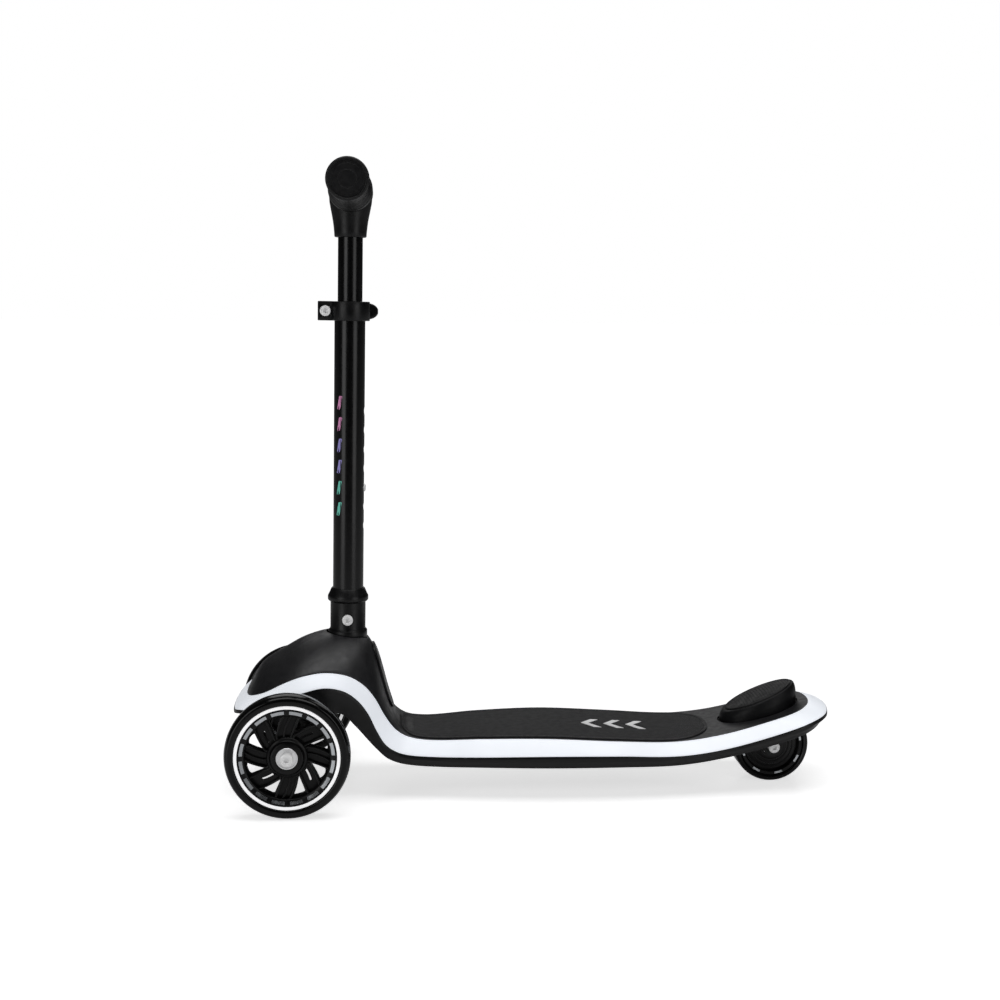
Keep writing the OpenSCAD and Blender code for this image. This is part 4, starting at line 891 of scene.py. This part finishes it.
for side, name in ((1, "left"), (-1, "right")):
    body = name + "_wheel"
    place = front_place(side)
    piece(name + "_tyre_ring", *turned(front_profile, place, 180), "tyre", body, name + "_tyre", sharp=40)
    parts = [turned(mirrored(core_rim, (WEB_OUT, -3), (WEB_OUT, 3)), place, 180),
             turned(mirrored(core_hub), place, 120)]
    flipped = lambda u, v, w, place=place: place(u, v, -w)
    for k, tip in enumerate(WINDOW_AT):
        for to in (place, flipped):
            parts.append(rib(wheel_rib(lambda r: tip - 3.2 - lean(r, *LOW_EDGE), 2.0, 7.0), to))
            parts.append(rib(wheel_rib(lambda r: tip + 3.4 - lean(r, *HIGH_EDGE), 2.0, 7.0), to))
            if k % 2 == 0:
                parts.append(rib(wheel_rib(lambda r: tip + 24 - 14 * max(0, r - 20) / 20, 1.6, 5.5), to))
    web = piece("web", *turned(mirrored([(16, WEB_HALF), (WEB_OUT, WEB_HALF)]), place, 180), None, None)
    combine(web, [tool(prism(window(tip), -4, 4, place)) for tip in WINDOW_AT]
            + [tool(prism(slit(tip), -4, 4, place)) for tip in WINDOW_AT[1::2]])
    parts.append(([tuple(c / MM for c in v.co) for v in web.data.vertices],
                  [tuple(f.vertices) for f in web.data.polygons]))
    bpy.data.objects.remove(web)
    piece(name + "_wheel_core", *join(parts), "wheel_black", body, name + "_core", sharp=34)
    # The trim rings use the white_ring finish, whose emission is a painted glow
    rings = [turned([(r, s * w) for r, w in white_band], place, 180) for s in (1, -1)]
    piece(name + "_white_ring", *join(rings), "white_ring", body, name + "_trim_rings", sharp=40)
    blocks = []
    for s in (1, -1):
        # Each plate leans inward with the rim's cone
        on_cone = lambda u, v, w, s=s, place=place: place(
            u, v, s * (w + CONE_W + CONE_SLOPE * (math.hypot(u, v) - CONE_R)))
        blocks += [prism(plate_outline(22.5 * (k + 0.5), 47.2, CONE_R, 8, 9, 0.35), 0, 0.45, on_cone)
                   for k in range(16)]
    piece(name + "_reflectors", *join(blocks), "silver", body, name + "_inserts", sharp=30)
    hub_bearings(name + "_hub_bearings", front_bearing, 5.4, place, body, name + "_bearings")

for side in (1, -1):
    bolt_piece(("left" if side > 0 else "right") + "_axle_bolt",
               lambda u, v, w, side=side: (AXLE_X + u, side * (HALF_TRACK + 18.7 + w), FRONT_R + v),
               6.5, 5.2, 3.95, 48, 3, "steel", "truck", *(["axle_bolts"] if side > 0 else []), dome=1.0)

REAR_R = 40


def rear_place(u, v, w):
    return (REAR_X - u, w, REAR_R + v)


rear_side = [(33.52, 16.6), (33.7, 17.3), (34.1, 17.9), (34.6, 18.4)]
rear_crown = [(35 + 5 * math.sin(math.radians(a)), 14 + 4.95 * math.cos(math.radians(a)))
              for a in range(4, 91, 8)]
rear_tread = [(40, 9.4), (39.3, 9.0), (39.3, 8.0), (40, 7.6)]
piece("rear_tyre_ring", *turned(mirrored(rear_side + rear_crown + rear_tread), rear_place, 160), "tyre",
      "rear_wheel", "rear_tyre", sharp=40)
rear_rim = [(28.6, 14.4), (29.2, 15.8), (29.8, 16.3), (30.3, 16.8), (33.1, 16.8), (33.5, 16.4)]
rear_hub = [(11.01, 17.8), (11.3, 18), (13.9, 18), (14.5, 17.5), (14.7, 15.6), (17.2, 14.9), (17.6, 14.2),
            (18.8, 14.2), (19.2, 14.9), (21.6, 14.5), (22.0, 13.4), (23.2, 13.4), (23.6, 14.1), (25.8, 13.6),
            (26.2, 12.4), (29, 12.2), (29.2, 4)]
parts = [turned(mirrored(rear_rim, (29.5, -6), (29.5, 6)), rear_place, 128),
         turned(mirrored(rear_hub), rear_place, 96)]
piece("rear_wheel_core", *join(parts), "wheel_black", "rear_wheel", "rear_core", sharp=34)
blocks = [prism(plate_outline(45 * k + 15, 32.5, 30.4, 7.5, 7, 0.3), s * 16.85, s * 17.25, rear_place)
          for s in (1, -1) for k in range(8)]
piece("rear_reflectors", *join(blocks), "silver", "rear_wheel", "rear_inserts", sharp=30)
rear_bearing = [(4.05, 17.7), (4.3, 17.95), (6.2, 17.95), (6.3, 17.6), (9.2, 17.55), (9.4, 17.9), (9.6, 18),
                (10.7, 18), (11.0, 17.7), (11.0, 11), (4.05, 11)]
hub_bearings("rear_hub_bearings", rear_bearing, 10.9, rear_place, "rear_wheel", "rear_bearings")


# ---- springs -----------------------------------------------------------------------------------
def helix(at, radius, wire, turns, low, high):
    """A round wire wound about an axis; at maps (u, v, w)."""
    steps, around = int(turns * 40), 14
    verts = []
    for k in range(steps + 1):
        a = TAU * turns * k / steps
        w = low + wire + (high - low - 2 * wire) * k / steps
        for i in range(around):
            b = TAU * i / around
            r = radius + wire * math.cos(b)
            verts.append(at(r * math.cos(a), r * math.sin(a), w + wire * math.sin(b)))
    return verts, tube_faces(around, steps + 1)


SPRING_Y, SPRING_LOW, SPRING_HIGH = 46, 71.4, 93.4
coils = [helix(lambda u, v, w, s=s: (AXLE_X + u, s * SPRING_Y + v, w), 6, 1.1, 5.5, SPRING_LOW, SPRING_HIGH)
         for s in (1, -1)]
steer_coils = piece("steer_coils", *join(coils), "cast_black", None, "steer_springs", sharp=60)
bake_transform(steer_coils)
PIN_X, PIN_Z = REAR_X + 43, 56


def at_pin(u, v, w):
    return PIN_X + u, w, PIN_Z + v


piece("brake_coil", *helix(at_pin, 4.2, 0.8, 6.5, -5.9, 5.9), "steel", "deck", "brake_spring", sharp=60)

# ---- brake pedal -------------------------------------------------------------------------------
# Share of the oval, and the height over the deck at the front end and at the rear end
PEDAL_RINGS = np.array([
    [1, -5, -5], [1, 2, 8], [0.985, 4.5, 14], [0.95, 6.5, 19], [0.9, 7.8, 22], [0.7, 9.3, 23.5],
    [0.45, 10.4, 24.6], [0.2, 10.9, 25.1]])
RING_WEIGHT = [40, 1, 1]
PEDAL_Z, PEDAL_SLOPE, PEDAL_WALL = 66.5, math.tan(math.radians(14.4)), 2.6


def pedal_ring(share, front, rear, lift=0.0, count=128, pattern=None):
    a = np.arange(count) * TAU / count
    x = share * PEDAL_LONG * np.cos(a)
    y = share * PEDAL_WIDE * np.sin(a)
    climb = rear + (front - rear) * (x / PEDAL_LONG / 2 + 0.5)
    z = PEDAL_Z + (PEDAL_LONG - 7 - x) * PEDAL_SLOPE + climb + lift
    if pattern is not None:
        z = z + pattern(x, y)
    return np.stack([PEDAL_X + x, y, z], 1)


outer = smooth_table(PEDAL_RINGS, 5, RING_WEIGHT)
inner = [(s - PEDAL_WALL / PEDAL_LONG, f, h) for s, f, h in PEDAL_RINGS]
pedal = lofted("pedal_shell", [pedal_ring(*r) for r in outer[::-1]]
               + [pedal_ring(1 - 0.8 / PEDAL_LONG, -5.3, -5.3), pedal_ring(*inner[0])]
               + [pedal_ring(s, f, h, -PEDAL_WALL) for s, f, h in inner[1:]])
LUG = [(-4.5, -1.5), (-2, -4.2), (0, -4.8), (2, -4.2), (4.5, -1.5), (1, 20), (-15, 29), (-10, 9.5)]
lugs = [prism(LUG, s * 8.5, s * 12.5, at_pin) for s in (1, -1)]
combine(pedal, [tool(lug) for lug in lugs], "UNION")
combine(pedal, [tool(drum(2.55, -40, 40, at_pin, 40))])
finish_piece(pedal, "deck_satin", "brake", "brake_pedal", sharp=34)
repaint(pedal, "pedal_black")


def lid_bumps(x, y):
    return 0.45 * np.maximum(0, np.cos(x * TAU / 3.0)) * np.maximum(0, np.cos(y * TAU / 3.0))


def lid(share, lift, pattern=None):
    heights = [np.interp(share, PEDAL_RINGS[::-1, 0], PEDAL_RINGS[::-1, c]) for c in (1, 2)]
    return pedal_ring(share, *heights, lift, 200, pattern)


tread = lofted("pedal_lid", [lid(s, 0.75, lid_bumps) for s in np.linspace(0.05, 0.77, 44)]
       + [lid(s, lift) for s, lift in ((0.785, 0.7), (0.79, 1.15), (0.797, 1.3), (0.835, 1.3), (0.85, 1.1),
                                       (0.86, 0.7), (0.86, 0.25))]
       + [lid(s, 0.25) for s in (0.7, 0.45, 0.22, 0.05)], "mat", "brake", "brake_tread", sharp=28)
repaint(tread, "pedal_black")

# ---- printed decoration ------------------------------------------------------------------------
# Plain dashes on the stem and chevrons on the mat
DASH_TURN, DASH_TOP, DASH_STEP = math.radians(52), 248, 22
CHEVRON_X, CHEVRON_STEP = AXLE_X - 306, 24


def stem_print(u, v, w):
    """u runs round the front of the lower stem, v along it, and w out of its surface, in millimetres."""
    a = u / LOWER_R + DASH_TURN
    return on_stem((LOWER_R + w) * math.cos(a), (LOWER_R + w) * math.sin(a), v)


for n, look in enumerate(("print_pink",) * 2 + ("print_violet",) * 2 + ("print_mint",) * 2):
    middle = DASH_TOP - DASH_STEP * n
    dash = rounded([(-3.4, middle - 7), (0.6, middle - 7), (3.4, middle + 7), (-0.6, middle + 7)], 1.2, 4)
    repaint(piece("stem_dash_%d" % (n + 1), *prism(dash, -0.02, 0.05, stem_print), "gloss_black", "deck",
                  "lower_tube", sharp=30), look)


def mat_print(u, v, w):
    return u, v, float(skin_z(np.array([u]), np.array([v]))[0]) + w


for n in range(3):
    nose, reach = CHEVRON_X - CHEVRON_STEP * n, 16
    chevron = [(nose, 0), (nose - 12, reach), (nose - 20, reach), (nose - 8, 0), (nose - 20, -reach),
               (nose - 12, -reach)]
    repaint(piece("mat_chevron_%d" % (n + 1), *prism(chevron, 0.9, 1.5, mat_print), "mat", "deck", "grip_mat",
                  sharp=30), "print_white")

# ---- carried-over CAD nodes --------------------------------------------------------------------
SLOT_OF = {row["node"]: row["material_slot"] for row in frame["record"]["subparts"]}
for node, obj in frame["nodes"].items():
    obj.data.materials.clear()
    obj.data.materials.append(M[SLOT_OF[node]])

# ---- floor -------------------------------------------------------------------------------------
floor_mat = surface("floor", (0.9, 0.9, 0.905), 0.3, grain=300, depth=0.004, vary=0.004, rough_vary=0.02)
fn, fl = floor_mat.node_tree.nodes, floor_mat.node_tree.links
reach = fn.new("ShaderNodeVectorMath")
reach.operation = "LENGTH"
lift = fn.new("ShaderNodeMapRange")
for key, value in (("From Min", 0.9), ("From Max", 3), ("To Min", 0.66), ("To Max", 1.06)):
    lift.inputs[key].default_value = value
fl.new(fn.new("ShaderNodeTexCoord").outputs["Object"], reach.inputs[0])
fl.new(reach.outputs["Value"], lift.inputs["Value"])
# The floor glows for the eye more than it lights the model, as a lit white sweep does in a product shot
seen = fn.new("ShaderNodeLightPath")
dim = fn.new("ShaderNodeMath")
dim.operation = "MULTIPLY_ADD"
dim.inputs[1].default_value = 0.9
dim.inputs[2].default_value = 0.1
share = fn.new("ShaderNodeMath")
share.operation = "MULTIPLY"
fl.new(seen.outputs["Is Camera Ray"], dim.inputs[0])
fl.new(dim.outputs[0], share.inputs[0])
fl.new(lift.outputs[0], share.inputs[1])
fl.new(share.outputs[0], fn["Principled BSDF"].inputs["Emission Strength"])
fn["Principled BSDF"].inputs["Emission Color"].default_value = (1, 1, 1, 1)
floor = bpy.data.objects.new("floor", bpy.data.meshes.new("floor"))
R, FRONT_END = 60, 1.62
floor.data.from_pydata([(-R, -R, 0), (R, -R, 0), (R, FRONT_END, 0), (-R, FRONT_END, 0)], [], [(0, 1, 2, 3)])
floor.data.materials.append(floor_mat)
bpy.context.scene.collection.objects.link(floor)
